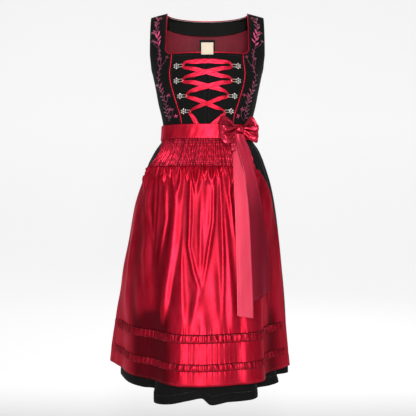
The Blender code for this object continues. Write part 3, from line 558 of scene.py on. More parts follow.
def skirt_surface(angle, share):
    """The skirt's inner face, with soft gathers that run down from the waist into the folds."""
    degrees = np.degrees(angle)
    hem_z = SKIRT_HEM_Z - read(SKIRT_FOLDS, degrees, "drop")
    z = mix(WAIST_Z - SEAM_GAP, hem_z, share)
    growth = np.maximum(0.0, (SKIRT_FOLD_TOP_Z - z) / (SKIRT_FOLD_TOP_Z - SKIRT_HEM_Z))
    inset = read(SKIRT_FOLDS, degrees, "inset") * growth**SKIRT_FOLD_POWER
    kick = read(SKIRT_FOLDS, degrees, "kick") * smooth((SKIRT_KICK_TOP_Z - z) / SKIRT_KICK_FALL)
    radius = section_radius(angle, z) - inset + kick
    gathers = np.zeros_like(z)
    middles = scattered(3, SKIRT_GATHERS, -180, 180, 0)
    sizes = uneven_rows(SKIRT_GATHERS, (4, 0.0016, 0.0036), (5, -0.78, -0.52))
    for middle, (height, low_z) in zip(middles, sizes):
        away = (degrees - middle + 180) % 360 - 180
        ends = smooth((z - low_z) / 0.2) * smooth((BAND_LOW_Z - z) / 0.03)
        gathers += height * bell(away, 2.4 + 1.6 * share) * ends
    under_apron = smooth((80 - np.abs(degrees + 6)) / 8)
    return at_radius(angle, radius + gathers * (1 - under_apron), z)


def apron_edges(z):
    share = np.clip((YOKE_LOW_Z - z) / (YOKE_LOW_Z - APRON_HEM_Z), 0.0, 1.0) ** APRON_EDGE_POWER
    drawn_in = APRON_TOP_INSET * smooth((z - YOKE_LOW_Z + APRON_INSET_FALL) / APRON_INSET_FALL)
    return np.radians(mix(*APRON_LEFT_EDGE, share)), np.radians(mix(*APRON_RIGHT_EDGE, share) - drawn_in)


def plain_apron_radius(angle, z):
    down = smooth((APRON_HEM_SHAPE_TOP_Z - z) / (APRON_HEM_SHAPE_TOP_Z - APRON_HEM_Z))
    stand_out = read(APRON_HEM, np.degrees(angle), "stand_out") * down
    return section_radius(angle, z) + SKIRT_WALL + APRON_CLEARANCE + stand_out


def main_folds(x, z):
    """The ridges of the folds table, with a trough beside each."""
    relief = np.zeros_like(z)
    for way in APRON_FOLDS.values():
        points = np.array(way[::-1])
        middle, height, half_width = (np.interp(z, points[:, 1], points[:, i]) for i in (0, 2, 3))
        ends = smooth((way[0][1] + 0.03 - z) / 0.05) * smooth((z - way[-1][1] + 0.02) / 0.06)
        trough = FOLD_TROUGH * bell(x - middle, FOLD_TROUGH_WIDTH * half_width, 2.4)
        relief += height * ends * (bell(x - middle, half_width, 1.9) - trough)
    return relief


def round_drops(x, under_yoke):
    """Gathers that end in a round drop: a soft rim with a dip inside."""
    relief = np.zeros_like(x)
    for middle, low_z, half_width in rows_of(APRON_DROPS):
        away = np.sqrt(((x - middle) / half_width) ** 2 + (under_yoke / (YOKE_LOW_Z - low_z)) ** 2)
        relief += DROP_RIM * bell(away - 0.85, 0.30) * smooth(under_yoke / 0.006)
        relief -= DROP_HOLLOW * bell(away, 0.55)
    return relief


def gathers_under_yoke(degrees, under_yoke):
    """Short uneven gathers that start at the yoke and drift aside as they fade."""
    relief = np.zeros_like(degrees)
    spread = mix(1.0, 1.2, under_yoke / (YOKE_LOW_Z - APRON_HEM_Z))
    middles = scattered(11, YOKE_GATHERS, APRON_LEFT_EDGE[0], APRON_RIGHT_EDGE[0])
    sizes = uneven_rows(YOKE_GATHERS, (12, 0.0016, 0.0046), (13, 0.020, 0.070), (14, -20.0, 20.0))
    for middle, (height, length, drift) in zip(middles, sizes):
        away = degrees - middle * spread - drift * under_yoke
        relief += height * smooth(1 - under_yoke / length) * bell(away, 0.60 + 22.0 * under_yoke, 1.7)
    return relief


def small_creases(degrees, z):
    """A few long faint creases that lean one way or the other."""
    relief = np.zeros_like(z)
    for middle, height, start, span, width, lean in uneven_rows(SMALL_CREASES, *SMALL_CREASE_RANGES):
        inside = (start - z) / span
        along = smooth(inside * 4) * smooth((1 - inside) * 2.5)
        relief += height * along * bell(degrees - middle - lean * (start - z), width, 1.5)
    return relief


def apron_relief(angle, z):
    """How far the apron's cloth stands out: its folds, gathers, creases and the pull of the ruches."""
    degrees = np.degrees(angle)
    x = at_radius(angle, plain_apron_radius(angle, z), z)[..., 0]
    in_front = smooth((84 - np.abs(degrees)) / 14)
    under_yoke = YOKE_LOW_Z - z
    loose = smooth((z + 0.90) / 0.05) * smooth(under_yoke / 0.03)
    sway = 2.2 * np.sin(8.0 * z + 0.6)
    relief = in_front * (main_folds(x, z) + round_drops(x, under_yoke))
    relief += 0.0018 * loose * np.sin(x * 2 * math.pi / 0.047 + sway) * np.sin(x * 19 + 9 * z)
    relief = np.where(relief < 0, DEEPEST_DIP * np.tanh(relief / DEEPEST_DIP), relief)
    for middle, half_width, depth in rows_of(HEM_HOLLOWS):
        relief -= depth * bell(x - middle, half_width) * smooth((HEM_HOLLOW_TOP_Z - z) / 0.09) * in_front
    relief += gathers_under_yoke(degrees, under_yoke) + small_creases(degrees, z)
    for _, top_z, low_z in rows_of(RUCHES):
        pull = np.sin(degrees * 2.9) * np.sin(degrees * 0.83 + 1) + 0.6 * np.sin(degrees * 5.3)
        relief += RUCHE_PULL * bell(z - (top_z + low_z) / 2, 0.022) * pull
        relief -= RUCHE_SEAM_DIP * (bell(z - top_z, 0.0011) + bell(z - low_z, 0.0011))
    return relief


def hanging(x, z, lift):
    """Points lifted from the plain apron at distance x from the centre line."""
    centre = read(SKIRT_SECTIONS, z, "centre_x")
    angle = np.arcsin(np.clip((x - centre) / section_radius(0.6 + 0 * z, z), -0.99, 0.99))
    for _ in range(6):
        radius = plain_apron_radius(angle, z) + lift
        angle = np.arcsin(np.clip((x - centre) / radius, -0.99, 0.99))
    return at_radius(angle, plain_apron_radius(angle, z) + lift, z)


def unit(vectors):
    return vectors / np.maximum(np.linalg.norm(vectors, axis=-1, keepdims=True), 1e-12)


def normals_of(points):
    """Unit normals of a grid of points, outward for rows that run down and columns that run right."""
    along = np.gradient(points, axis=1)
    down = np.gradient(points, axis=0)
    return unit(np.cross(down, along))


def turned_out(points, facing):
    """A grid with its columns in the order that turns its faces the way it faces."""
    corner = np.cross(points[1, 0] - points[0, 0], points[0, 1] - points[0, 0])
    if corner.dot(facing[0, 0]) < 0:
        return points[:, ::-1], facing[:, ::-1]
    return points, facing


def grid(wide, deep):
    return np.meshgrid(np.linspace(0, 1, wide + 1), np.linspace(0, 1, deep + 1))


def stretches(*ends_and_counts):
    """Values from each stretch's start to its end in its count of points, with no value twice."""
    parts = [np.linspace(start, end, count) for start, end, count in ends_and_counts]
    return np.concatenate([part[:-1] for part in parts[:-1]] + parts[-1:])


def add_object(name, data):
    made = bpy.data.objects.new(name, data)
    bpy.context.scene.collection.objects.link(made)
    return made


def make_object(name, points, blocks, material, uvs, shade_and_tarnish=None):
    """A smooth mesh from its points and blocks of faces, each block an array with a face in each row."""
    mesh = bpy.data.meshes.new(name)
    corners = np.concatenate([block.ravel() for block in blocks]).astype(np.int32)
    totals = np.concatenate([np.full(len(block), block.shape[1], np.int32) for block in blocks])
    starts = (np.cumsum(totals) - totals).astype(np.int32)
    mesh.vertices.add(len(points))
    mesh.vertices.foreach_set("co", np.asarray(points, np.float32).ravel())
    mesh.loops.add(len(corners))
    mesh.loops.foreach_set("vertex_index", corners)
    mesh.polygons.add(len(totals))
    mesh.polygons.foreach_set("loop_start", starts)
    mesh.polygons.foreach_set("loop_total", totals)
    mesh.update(calc_edges=True)
    layer = mesh.uv_layers.new(name="cloth")
    layer.data.foreach_set("uv", np.asarray(uvs, np.float32)[corners].ravel())
    if shade_and_tarnish is not None:
        layer = mesh.attributes.new("shade_and_tarnish", "FLOAT", "POINT")
        layer.data.foreach_set("value", np.asarray(shade_and_tarnish, np.float32).ravel())
    mesh.materials.append(material)
    mesh.shade_smooth()
    mesh.validate()
    return add_object(name, mesh)


def grid_faces(wide, deep, ring=False):
    """Corner indexes of a grid's faces, as seen from outside, for wide by deep points."""
    here = np.arange(wide if ring else wide - 1)
    there = (here + 1) % wide
    rows = np.arange(deep - 1)[:, None] * wide
    quads = np.stack([rows + here, rows + here + wide, rows + there + wide, rows + there], -1)
    return quads.reshape(-1, 4)


def fan(ring, tip):
    """Triangles from each pair of neighbours on a ring of points to its tip."""
    return np.stack([ring, np.roll(ring, -1), np.full(len(ring), tip)], -1)


def closed_wall(name, outside, inside, material, uv, shade_and_tarnish=None):
    """A closed wall between two grids of points, with its UV map over each."""
    deep, wide = outside.shape[:2]
    index = np.arange(deep * wide).reshape(deep, wide)
    front = grid_faces(wide, deep)
    rim = np.concatenate([index[0, :-1], index[:-1, -1], index[-1, :0:-1], index[:0:-1, 0]])
    after = np.roll(rim, -1)
    sides = np.stack([rim, after, after + index.size, rim + index.size], -1)
    points = np.concatenate([outside.reshape(-1, 3), inside.reshape(-1, 3)])
    uvs = np.tile(uv.reshape(-1, 2), (2, 1))
    if shade_and_tarnish is not None:
        shade_and_tarnish = np.tile(shade_and_tarnish.ravel(), 2)
    return make_object(name, points, [front, front[:, ::-1] + index.size, sides], material, uvs, shade_and_tarnish)


def wall(name, outside, thickness, material, size, normals, shade_and_tarnish=None):
    """A closed cloth wall whose outer face is the grid of points. Size is its width and length for the UV
    map, and the last argument, if given, is painted shade from 0 to 1 that darkens the satin in its folds
    and under other pieces."""
    deep, wide = outside.shape[:2]
    uv = np.stack(np.meshgrid(np.linspace(0, size[0], wide), np.linspace(0, size[1], deep)), -1)
    return closed_wall(name, outside, outside - normals * thickness, material, uv, shade_and_tarnish)


def tube(name, path, radius, sides, material, swell):
    """A round tube along points with closed ends; swell gives the radius's share at each point."""
    along = unit(np.gradient(path, axis=0))
    across = np.zeros_like(path)
    before = np.cross(along[0], (0, 0, 1.0) if abs(along[0, 2]) < 0.9 else (0, 1.0, 0))
    for i, direction in enumerate(along):
        before = before - direction * before.dot(direction)
        before = before / np.linalg.norm(before)
        across[i] = before
    other = np.cross(along, across)
    turn = np.linspace(0, 2 * math.pi, sides, endpoint=False)[None, :, None]
    reach = (radius * swell)[:, None, None]
    rings = path[:, None] + reach * (across[:, None] * np.cos(turn) + other[:, None] * np.sin(turn))
    count = len(path)
    tip = count * sides
    points = np.concatenate([rings.reshape(-1, 3), path[:1], path[-1:]])
    ring = np.arange(sides)
    turned_over = grid_faces(sides, count, ring=True)[:, [0, 3, 2, 1]]
    blocks = [turned_over, fan(ring[::-1], tip), fan(tip - sides + ring, tip + 1)]
    length = reach_along(path)
    uv = np.stack(np.meshgrid(ring * 2 * math.pi * radius / sides, length), -1).reshape(-1, 2)
    return make_object(name, points, blocks, material, np.concatenate([uv, [(0, 0), (0, length[-1])]]))


def merge(piece):
    """Joins the points that meet at the ends of a closed form and turns its faces outward."""
    form = bmesh.new()
    form.from_mesh(piece.data)
    bmesh.ops.remove_doubles(form, verts=form.verts, dist=1e-6)
    bmesh.ops.dissolve_degenerate(form, dist=1e-7, edges=form.edges)
    bmesh.ops.recalc_face_normals(form, faces=form.faces)
    form.to_mesh(piece.data)
    form.free()
    piece.data.shade_smooth()


def settle(piece, *nodes, slot):
    """Fixes a finished piece to the one body, in place of its solids; the slot is not used."""
    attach(piece, "root")
    if nodes:
        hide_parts(*nodes)


# Finishes

RIB_PITCH = 0.0036


class Shade:
    """A socket of a node tree that takes Python arithmetic."""

    def __init__(self, tree, out=None):
        self.tree = tree
        self.out = out

    def node(self, kind, settings=None, inputs=None, output=0):
        """Any node of the tree: its settings first, then its values and links."""
        made = self.tree.nodes.new(kind)
        for name, value in (settings or {}).items():
            setattr(made, name, value)
        for name, value in (inputs or {}).items():
            if isinstance(value, Shade):
                self.tree.links.new(value.out, made.inputs[name])
            else:
                made.inputs[name].default_value = value
        return Shade(self.tree, made.outputs[output] if made.outputs else None)

    def maths(self, operation, first, second=0.0):
        return self.node("ShaderNodeMath", {"operation": operation}, {0: first, 1: second})

    def __add__(self, other):
        return self.maths("ADD", self, other)

    def __radd__(self, other):
        return self.maths("ADD", other, self)

    def __sub__(self, other):
        return self.maths("SUBTRACT", self, other)

    def __mul__(self, other):
        return self.maths("MULTIPLY", self, other)

    def __rmul__(self, other):
        return self.maths("MULTIPLY", other, self)

    def sine(self):
        return self.maths("SINE", self)

    def part(self, axis):
        return self.node("ShaderNodeSeparateXYZ", None, {0: self}, axis)

    def blend(self, low, high):
        """Colours mixed by this value."""
        settings = {"data_type": "RGBA", "clamp_factor": True}
        return self.node("ShaderNodeMix", settings, {0: self, 6: low, 7: high}, 2)

    def step(self, low, high):
        """This value's share of the way from low to high, from 0 to 1."""
        ends = {"Value": self, "From Min": low, "From Max": high}
        return self.node("ShaderNodeMapRange", {"interpolation_type": "SMOOTHSTEP"}, ends)

    def noise(self, scale, detail=2.0, roughness=0.5, stretch=(1, 1, 1)):
        spread = self.node("ShaderNodeMapping", None, {"Vector": self, "Scale": stretch})
        values = {"Vector": spread, "Scale": scale, "Detail": detail, "Roughness": roughness}
        return self.node("ShaderNodeTexNoise", None, values)


def new_finish(name):
    """A material with its shader, and its cloth and object coordinates ready."""
    made = bpy.data.materials.new(name)
    made.use_nodes = True
    start = Shade(made.node_tree)
    cloth = start.node("ShaderNodeUVMap", {"uv_map": "cloth"})
    place = start.node("ShaderNodeTexCoord", output="Object")
    return made, made.node_tree.nodes["Principled BSDF"], cloth, place


def shade_and_tarnish_of(cloth):
    """The painted shade, from 0 to 1, that a piece carries: darkening in the satin's folds and under other
    pieces, and on a hook the tarnish in its recesses.
    """
    return cloth.node("ShaderNodeAttribute", {"attribute_name": "shade_and_tarnish"}, output=2)


def finish_with(shader, colour, roughness, height=None, distance=0.0003, strength=0.6, **fixed):
    """Links a colour, a roughness and a bump height to a shader, and sets its fixed values."""
    tree = shader.id_data
    for name, value in (("Base Color", colour), ("Roughness", roughness)):
        if isinstance(value, Shade):
            tree.links.new(value.out, shader.inputs[name])
        else:
            shader.inputs[name].default_value = value
    if height is not None:
        raised = {"Height": height, "Distance": distance, "Strength": strength}
        bump = height.node("ShaderNodeBump", None, raised)
        tree.links.new(bump.out, shader.inputs["Normal"])
    for name, value in fixed.items():
        shader.inputs[name.replace("_", " ")].default_value = value


def red(level):
    """The apron's red from dark at 0 through pink at 1 to pale pink at 1.5."""
    at = (0.0, 0.5, 1.0, 1.5)
    reds = 0.060, 0.400, 0.800, 0.580
    greens = 0.0002, 0.0016, 0.0350, 0.0700
    blues = 0.0020, 0.0130, 0.0900, 0.1080
    return tuple(float(np.interp(level, at, part)) for part in (reds, greens, blues)) + (1.0,)


def satin_finish(name, tone=0.5, ribs=False, gloss=0.35, metal=0.75, shine=(1.0, 0.38, 0.50, 1.0)):
    """Glossy woven satin: long floats that run down the cloth, slightly crushed; a lace has cross ribs."""
    made, shader, cloth, place = new_finish(name)
    slubs = cloth.noise(900.0, 3.0, 0.6, (1.0, 0.10, 1.0))
    crush = place.noise(42.0, 4.0, 0.62, (1.0, 1.0, 0.45))
    fine = place.noise(190.0, 3.0, 0.6, (1.0, 1.0, 0.6))
    colour = (crush * 0.6 + slubs * 0.4).step(0.30, 0.72).blend(red(tone - 0.09), red(tone + 0.07))
    # Painted shade: the colour darkens to a deep red by the shade mask that each piece carries
    shade_and_tarnish = shade_and_tarnish_of(cloth)
    colour = (shade_and_tarnish * 0.85).blend(colour, (0.050, 0.0002, 0.0020, 1.0))
    roughness = gloss + 0.10 * crush + 0.04 * slubs + 0.12 * shade_and_tarnish
    height = crush * 0.75 + fine * 0.30 + slubs * 0.10
    if ribs:
        height = height * 0.5 + (cloth.part(1) * (2 * math.pi / RIB_PITCH)).sine() * 0.30
    finish_with(
        shader,
        colour,
        roughness,
        height,
        distance=0.0011,
        strength=0.20,
        Metallic=metal,
        Specular_IOR_Level=0.55,
        Specular_Tint=shine,
    )
    return made


def weave_finish(name, colour, lighter, pitch=0.0006, roughness=0.82, sheen=0.02, sheen_tint=(1, 1, 1, 1)):
    """Plain woven cloth with uneven threads."""
    made, shader, cloth, place = new_finish(name)
    threads = (cloth.part(0) * (2 * math.pi / pitch)).sine() * (cloth.part(1) * (2 * math.pi / pitch)).sine()
    slubs = cloth.noise(1400.0, 2.0, 0.5, (0.15, 1.0, 1.0))
    worn = place.noise(14.0, 3.0, 0.55)
    mottle = place.noise(110.0, 3.0, 0.6)
    share = (slubs * 0.4 + worn * 0.35 + mottle * 0.25).step(0.30, 0.75)
    finish_with(
        shader,
        share.blend(colour, lighter),
        roughness + 0.10 * worn,
        threads * 0.22 + slubs * 0.30 + mottle * 0.50,
        distance=0.00035,
        strength=0.4,
        Sheen_Weight=sheen,
        Sheen_Roughness=0.5,
        Sheen_Tint=sheen_tint,
        Specular_IOR_Level=0.12,
    )
    return made


def thread_finish(name, colour, darker, twist=0.0011):
    """Twisted embroidery and sewing thread."""
    made, shader, cloth, place = new_finish(name)
    ply = ((cloth.part(0) * 2.0 + cloth.part(1)) * (2 * math.pi / twist)).sine()
    tone = place.noise(260.0, 2.0)
    share = (ply * 0.25 + tone).step(0.25, 0.85)
    finish_with(
        shader,
        share.blend(darker, colour),
        0.42 + 0.2 * tone,
        ply * 0.5 + tone * 0.3,
        distance=0.0002,
        strength=0.5,
        Sheen_Weight=0.2,
        Specular_IOR_Level=0.5,
    )
    return made


def silver_finish(name):
    """Old cast silver: bright on the raised parts, nearly black in the hollows."""
    made, shader, cloth, place = new_finish(name)
    pits = place.noise(900.0, 4.0, 0.7)
    tarnish = place.noise(260.0, 3.0, 0.6)
    shade_and_tarnish = shade_and_tarnish_of(cloth)
    share = (shade_and_tarnish * 1.1 + (tarnish - 0.5) * 0.5).step(0.10, 0.85)
    colour = share.blend((0.62, 0.60, 0.55, 1), (0.016, 0.015, 0.014, 1))
    roughness = 0.32 + 0.20 * tarnish + 0.20 * shade_and_tarnish
    finish_with(shader, colour, roughness, pits * 0.6, distance=0.00015, strength=0.5, Metallic=0.95)
    return made


black_cloth = weave_finish(
    "black_cotton", (0.0012, 0.0012, 0.0012, 1), (0.0044, 0.0044, 0.0041, 1), sheen=0.012
)
black_facing = weave_finish("black_facing", (0.0045, 0.0045, 0.0042, 1), (0.0095, 0.0095, 0.0090, 1))
maroon_lining = weave_finish(
    "maroon_lining",
    (0.110, 0.0075, 0.0145, 1),
    (0.190, 0.0150, 0.0260, 1),
    roughness=0.55,
    sheen=0.10,
    sheen_tint=(1.0, 0.4, 0.45, 1),
)
red_satin = satin_finish("red_satin", 0.58)
smocked_satin = satin_finish("red_satin_smocked", 0.72)
tie_satin = satin_finish("red_satin_tie", 0.80, ribs=True, gloss=0.24, shine=(1.0, 0.60, 0.70, 1.0))
# The tails and the fold under the knot are the tie's satin at a paler tone, which is painted light
tail_satin_painted_lit = satin_finish("red_satin_tail_painted_lit", 1.26, ribs=True, gloss=0.46, metal=0.35)
back_tail_satin_painted_lit = satin_finish("red_satin_tail_back_painted_lit", 1.10, ribs=True, gloss=0.38, metal=0.80)
band_satin = satin_finish("red_satin_band", 0.60, gloss=0.36)
lace_satin = satin_finish("pink_lace", 0.68, ribs=True, gloss=0.40)
red_piping = satin_finish("red_piping", 0.58)
cream_label = weave_finish(
    "cream_label", (0.50, 0.42, 0.32, 1), (0.60, 0.52, 0.41, 1), pitch=0.0009, roughness=0.7
)
old_silver = silver_finish("old_silver")
black_thread = thread_finish("black_thread", (0.007, 0.007, 0.007, 1), (0.003, 0.003, 0.003, 1))
red_thread = thread_finish("red_thread", (0.42, 0.006, 0.022, 1), (0.16, 0.002, 0.008, 1))
cream_thread = thread_finish("cream_thread", (0.62, 0.55, 0.42, 1), (0.40, 0.34, 0.25, 1))
bright_thread = thread_finish("bright_pink_thread", (0.78, 0.060, 0.220, 1), (0.36, 0.010, 0.075, 1))
raspberry_thread = thread_finish("raspberry_thread", (0.42, 0.012, 0.100, 1), (0.16, 0.003, 0.036, 1))
magenta_thread = thread_finish("magenta_thread", (0.19, 0.005, 0.055, 1), (0.075, 0.0015, 0.022, 1))


# Small repeated things, made by Geometry Nodes


def set_on_points(name, pattern, material, points, facing, along, sizes):
    """One mesh of the pattern set on every point, turned to its facing and along the cloth, and scaled."""
    mesh = bpy.data.meshes.new("places")
    mesh.from_pydata(points.tolist(), [], [])
    group = bpy.data.node_groups.new(name + "_array", "GeometryNodeTree")
    for way in ("INPUT", "OUTPUT"):
        group.interface.new_socket("Geometry", in_out=way, socket_type="NodeSocketGeometry")
    start = Shade(group)
    fields = []
    for field, kind, part, values in (
        ("facing", "FLOAT_VECTOR", "vector", facing),
        ("along", "FLOAT_VECTOR", "vector", along),
        ("size", "FLOAT", "value", sizes),
    ):
        layer = mesh.attributes.new(field, kind, "POINT")
        layer.data.foreach_set(part, np.asarray(values, np.float32).ravel())
        settings = {"data_type": kind}
        fields.append(start.node("GeometryNodeInputNamedAttribute", settings, {"Name": field}, "Attribute"))
    up = start.node("FunctionNodeAlignRotationToVector", {"axis": "Z"}, {"Vector": fields[0]})
    ways = {"axis": "X", "pivot_axis": "Z"}
    turn = start.node("FunctionNodeAlignRotationToVector", ways, {"Rotation": up, "Vector": fields[1]})
    shape = start.node("GeometryNodeObjectInfo", None, {"Object": pattern}, "Geometry")
    given = start.node("NodeGroupInput")
    inputs = {"Points": given, "Instance": shape, "Rotation": turn, "Scale": fields[2]}
    spread = start.node("GeometryNodeInstanceOnPoints", None, inputs)
    real = start.node("GeometryNodeRealizeInstances", None, {"Geometry": spread})
    painted = start.node("GeometryNodeSetMaterial", None, {"Geometry": real, "Material": material})
    start.node("NodeGroupOutput", None, {"Geometry": painted})
    places = add_object("places", mesh)
    places.modifiers.new("array", "NODES").node_group = group
    shown = places.evaluated_get(bpy.context.evaluated_depsgraph_get())
    made = bpy.data.meshes.new_from_object(shown)
    made.name = name
    bpy.data.objects.remove(places)
    bpy.data.objects.remove(pattern)
    return add_object(name, made)


def stitch_pattern(length, thickness, material, sides=4, rings=3):
    """One raised stitch along X that dips into the cloth at both ends, facing +Z."""
    share = np.linspace(-1, 1, rings)
    path = np.stack([share * length / 2, 0 * share, thickness * (0.55 - 0.75 * share**2)], -1)
    return tube("stitch", path, thickness / 2, sides, material, np.sqrt(1 - 0.86 * share**4))


def stitches_along(path, facing, kind):
    """Middles, facings and directions of one row of stitches along a path of points."""
    pitch, lift, _, _ = SEWING[kind]
    reach = reach_along(path)
    at = np.arange(pitch / 2, reach[-1], pitch)
    face = unit(spaced(facing, reach, at))
    ahead = spaced(path, reach, np.minimum(at + pitch / 3, reach[-1]))
    behind = spaced(path, reach, np.maximum(at - pitch / 3, 0))
    return spaced(path, reach, at) + face * lift, face, unit(ahead - behind)


def sewn(points, facing, kind, *lines):
    """A row of stitches along each of these lines of a grid."""
    return [stitches_along(points[line], facing[line], kind) for line in lines]


def sew(name, rows, kind, thread, slot):
    """Every row of stitches of one piece, as one mesh."""
    _, _, length, thickness = SEWING[kind]
    middles, facings, alongs = (np.concatenate(parts) for parts in zip(*rows))
    sizes = 0.92 + 0.16 * np.random.default_rng(7).random(len(middles))
    pattern = stitch_pattern(length, thickness, thread)
    settle(set_on_points(name, pattern, thread, middles, facings, alongs, sizes), slot=slot)


# The black skirt


def skirt(name, start, end, columns):
    """Half of the skirt, with a turned hem and a row of stitches at its hem and at its top."""
    # One more column each side, so that the two halves face the same way where they meet
    step = (end - start) / (columns - 1)
    rows = stretches((0, 0.12, 13), (0.12, 0.94, 54), (0.94, 1, 9))
    degrees, shares = np.meshgrid(np.linspace(start - step, end + step, columns + 2), rows)
    degrees = np.where(degrees > 180, degrees - 360, degrees)
    inner = skirt_surface(np.radians(degrees), shares)
    facing = normals_of(inner)
    inner, facing, shares = (part[:, 1:-1] for part in (inner, facing, shares))
    hem_turn = 0.0006 * smooth((shares - 0.962) / 0.004)
    outside = inner + facing * (SKIRT_WALL + hem_turn)[..., None]
    piece = wall(name + "_cloth", outside, SKIRT_WALL, black_cloth, (0.95, 0.69), facing)
    settle(piece, name, slot="black_cloth")
    sew(name + "_stitches", sewn(outside, facing, "skirt", -5, 6), "skirt", black_thread, "black_cloth")


skirt("skirt_front", -90, 90, 220)
skirt("skirt_back", 90, 270, 240)


# The red apron

SMOCKING_GATHERS = 62
# Seed, low and high of the smocking's wander, height, width, bend and split
SMOCKING_RANGES = (
    (31, -0.34, 0.34),
    (32, 0.0024, 0.0056),
    (33, 0.18, 0.34),
    (34, -0.9, 0.9),
    (35, 0.0, 1.0),
)
YOKE_ROW_SHARES = (0.06, 0.155, 0.25, 0.78, 0.865, 0.945)
# The hem turned in at each side of the panel, as a share of its width
APRON_SIDE_HEM = 0.020 / 0.75
RUCHE_GATHERS = 46
RUCHE_INSET = 0.030
RUCHE_WALL = 0.0009
# Seed, low and high of the ruches' wander, height, width and lean
RUCHE_RANGES = (
    (41, -0.25, 0.25),
    (42, 0.0014, 0.0036),
    (43, 0.26, 0.46),
    (44, -0.5, 0.5),
)


def apron_surface(across, z):
    """Outer points of the apron for shares across from its left edge, with their facings and folds."""
    left, right = apron_edges(z)
    angle = mix(left, right, across)
    relief = apron_relief(angle, z)
    points = at_radius(angle, plain_apron_radius(angle, z) + relief, z)
    facing = normals_of(points)
    return points + facing * APRON_WALL, facing, relief


def smocked_yoke():
    """The yoke: fine uneven gathers, held by three rows of stitching at the top and three at the bottom."""
    columns, deep = 480, 40
    across, share = grid(columns, deep)
    z = mix(BAND_LOW_Z - SEAM_GAP, YOKE_LOW_Z + SEAM_GAP, share)
    drawn_in = YOKE_SIDE_INSET * np.sin(math.pi * share) ** 0.7 * (1 - across) ** 5
    angle = mix(*apron_edges(z), across) + drawn_in
    relief = np.zeros_like(z)
    gathers = uneven_rows(SMOCKING_GATHERS, *SMOCKING_RANGES)
    for i, (wander, height, width, bend, split) in enumerate(gathers):
        middle = i + 0.5 + wander + bend * np.sin(share * math.pi * (1 + split)) * 0.42
        swell = 0.72 + 0.16 * np.sin(share * 5.2 + 6 * split) + 0.20 * np.sin(share * 23 + 19 * split)
        near = np.abs(across * SMOCKING_GATHERS - middle)
        relief = np.maximum(relief, height * swell * bell(near, width * 1.25, 1.7))
    held = sum(bell(share - row_share, 0.016) for row_share in YOKE_ROW_SHARES)
    relief *= 1 - 0.42 * np.clip(held, 0, 1)
    relief += 0.0016 * np.sin(share * math.pi) ** 0.6
    points = at_radius(angle, plain_apron_radius(angle, z) + relief, z)
    facing = normals_of(points)
    outside = points + facing * APRON_WALL
    # Painted shade: darker where the cloth lies low between the gathers
    shade_and_tarnish = smooth(1.15 - relief / 0.0036)
    piece = wall("apron_smocked_yoke", outside, APRON_WALL, smocked_satin, (0.60, 0.078), facing, shade_and_tarnish)
    settle(piece, "apron_smocking", slot="red_satin")
    rows = sewn(outside, facing, "smocking", *(round(row_share * deep) for row_share in YOKE_ROW_SHARES))
    sew("apron_smocking_stitches", rows, "smocking", red_thread, "red_satin")


def apron_panel():
    """The panel, with its folds and with a hem turned in at both sides."""
    last = 350
    columns = np.linspace(0, 1, last + 1)
    across, depth = np.meshgrid(columns, stretches((0, 0.10, 20), (0.10, 0.90, 76), (0.90, 1, 12)))
    points, facing, relief = apron_surface(across, mix(YOKE_LOW_Z, APRON_HEM_Z, depth))
    # Painted shade: darker in the valleys between the folds
    shade_and_tarnish = smooth((0.0012 - relief) / 0.0060)
    side_edge = smooth((APRON_SIDE_HEM - np.minimum(across, 1 - across)) / 0.002)
    points = points + facing * (0.0005 * side_edge)[..., None]
    piece = wall("apron_panel_cloth", points, APRON_WALL, red_satin, (0.86, 0.565), facing, shade_and_tarnish)
    settle(piece, "apron_panel", slot="red_satin")
    near_side = int(np.searchsorted(columns, APRON_SIDE_HEM * 0.92))
    rows = sewn(points, facing, "panel", np.s_[:, near_side], np.s_[:, last - near_side], -2)
    sew("apron_stitches", rows, "panel", red_thread, "red_satin")


def ruched_band(name, top_z, low_z):
    """A narrow strip gathered crosswise between two rows of stitching, with a folded top edge."""
    wide, deep = 400, 10
    position, share = grid(wide, deep)
    across = mix(RUCHE_INSET, 1 - RUCHE_INSET, position)
    points, facing, _ = apron_surface(across, mix(top_z, low_z, share))
    relief = np.zeros_like(share)
    for i, (wander, height, width, lean) in enumerate(uneven_rows(RUCHE_GATHERS, *RUCHE_RANGES)):
        near = np.abs(position * RUCHE_GATHERS - (i + 0.5 + wander) - lean * (share - 0.5))
        relief = np.maximum(relief, height * bell(near, width, 1.8))
    body = np.sin(share * math.pi) ** 0.55
    in_front = smooth((HEM_FRONT_HALF - np.abs(points[..., 0] - HEM_FRONT_X)) / 0.03)
    relief *= mix(0.40, 1.0, in_front)
    lift = 0.0011 + (0.0008 + relief) * body + 0.0008 * bell(share, 0.06)
    outside = points + facing * lift[..., None]
    # Painted shade: darker between the gathers, under the folded top edge, and at the sides away from the
    # flat front
    shade_and_tarnish = np.maximum(smooth(1 - relief * body / 0.0018) * 0.7, bell(share, 0.16))
    shade_and_tarnish = np.maximum(shade_and_tarnish, 0.55 * (1 - in_front))
    piece = wall(name + "_cloth", outside, RUCHE_WALL, band_satin, (0.95, 0.024), facing, shade_and_tarnish)
    settle(piece, name, slot="red_satin")
    round(top_z - low_z, 3)
    rows = sewn(outside, normals_of(outside), "ruche", 1, deep - 1)
    sew(name + "_stitches", rows, "ruche", red_thread, "red_satin")


smocked_yoke()
apron_panel()
for row in rows_of(RUCHES):
    ruched_band(*row)


# The bodice


def cloth_wrinkles(x, z, height=0.0004):
    """Small soft unevenness of worn cotton."""
    broad = np.sin(61 * x + 23 * z + 0.6) * np.sin(47 * z - 31 * x)
    fine = np.sin(139 * z + 71 * x) * np.sin(93 * x + 2)
    return height * (broad + 0.6 * fine)


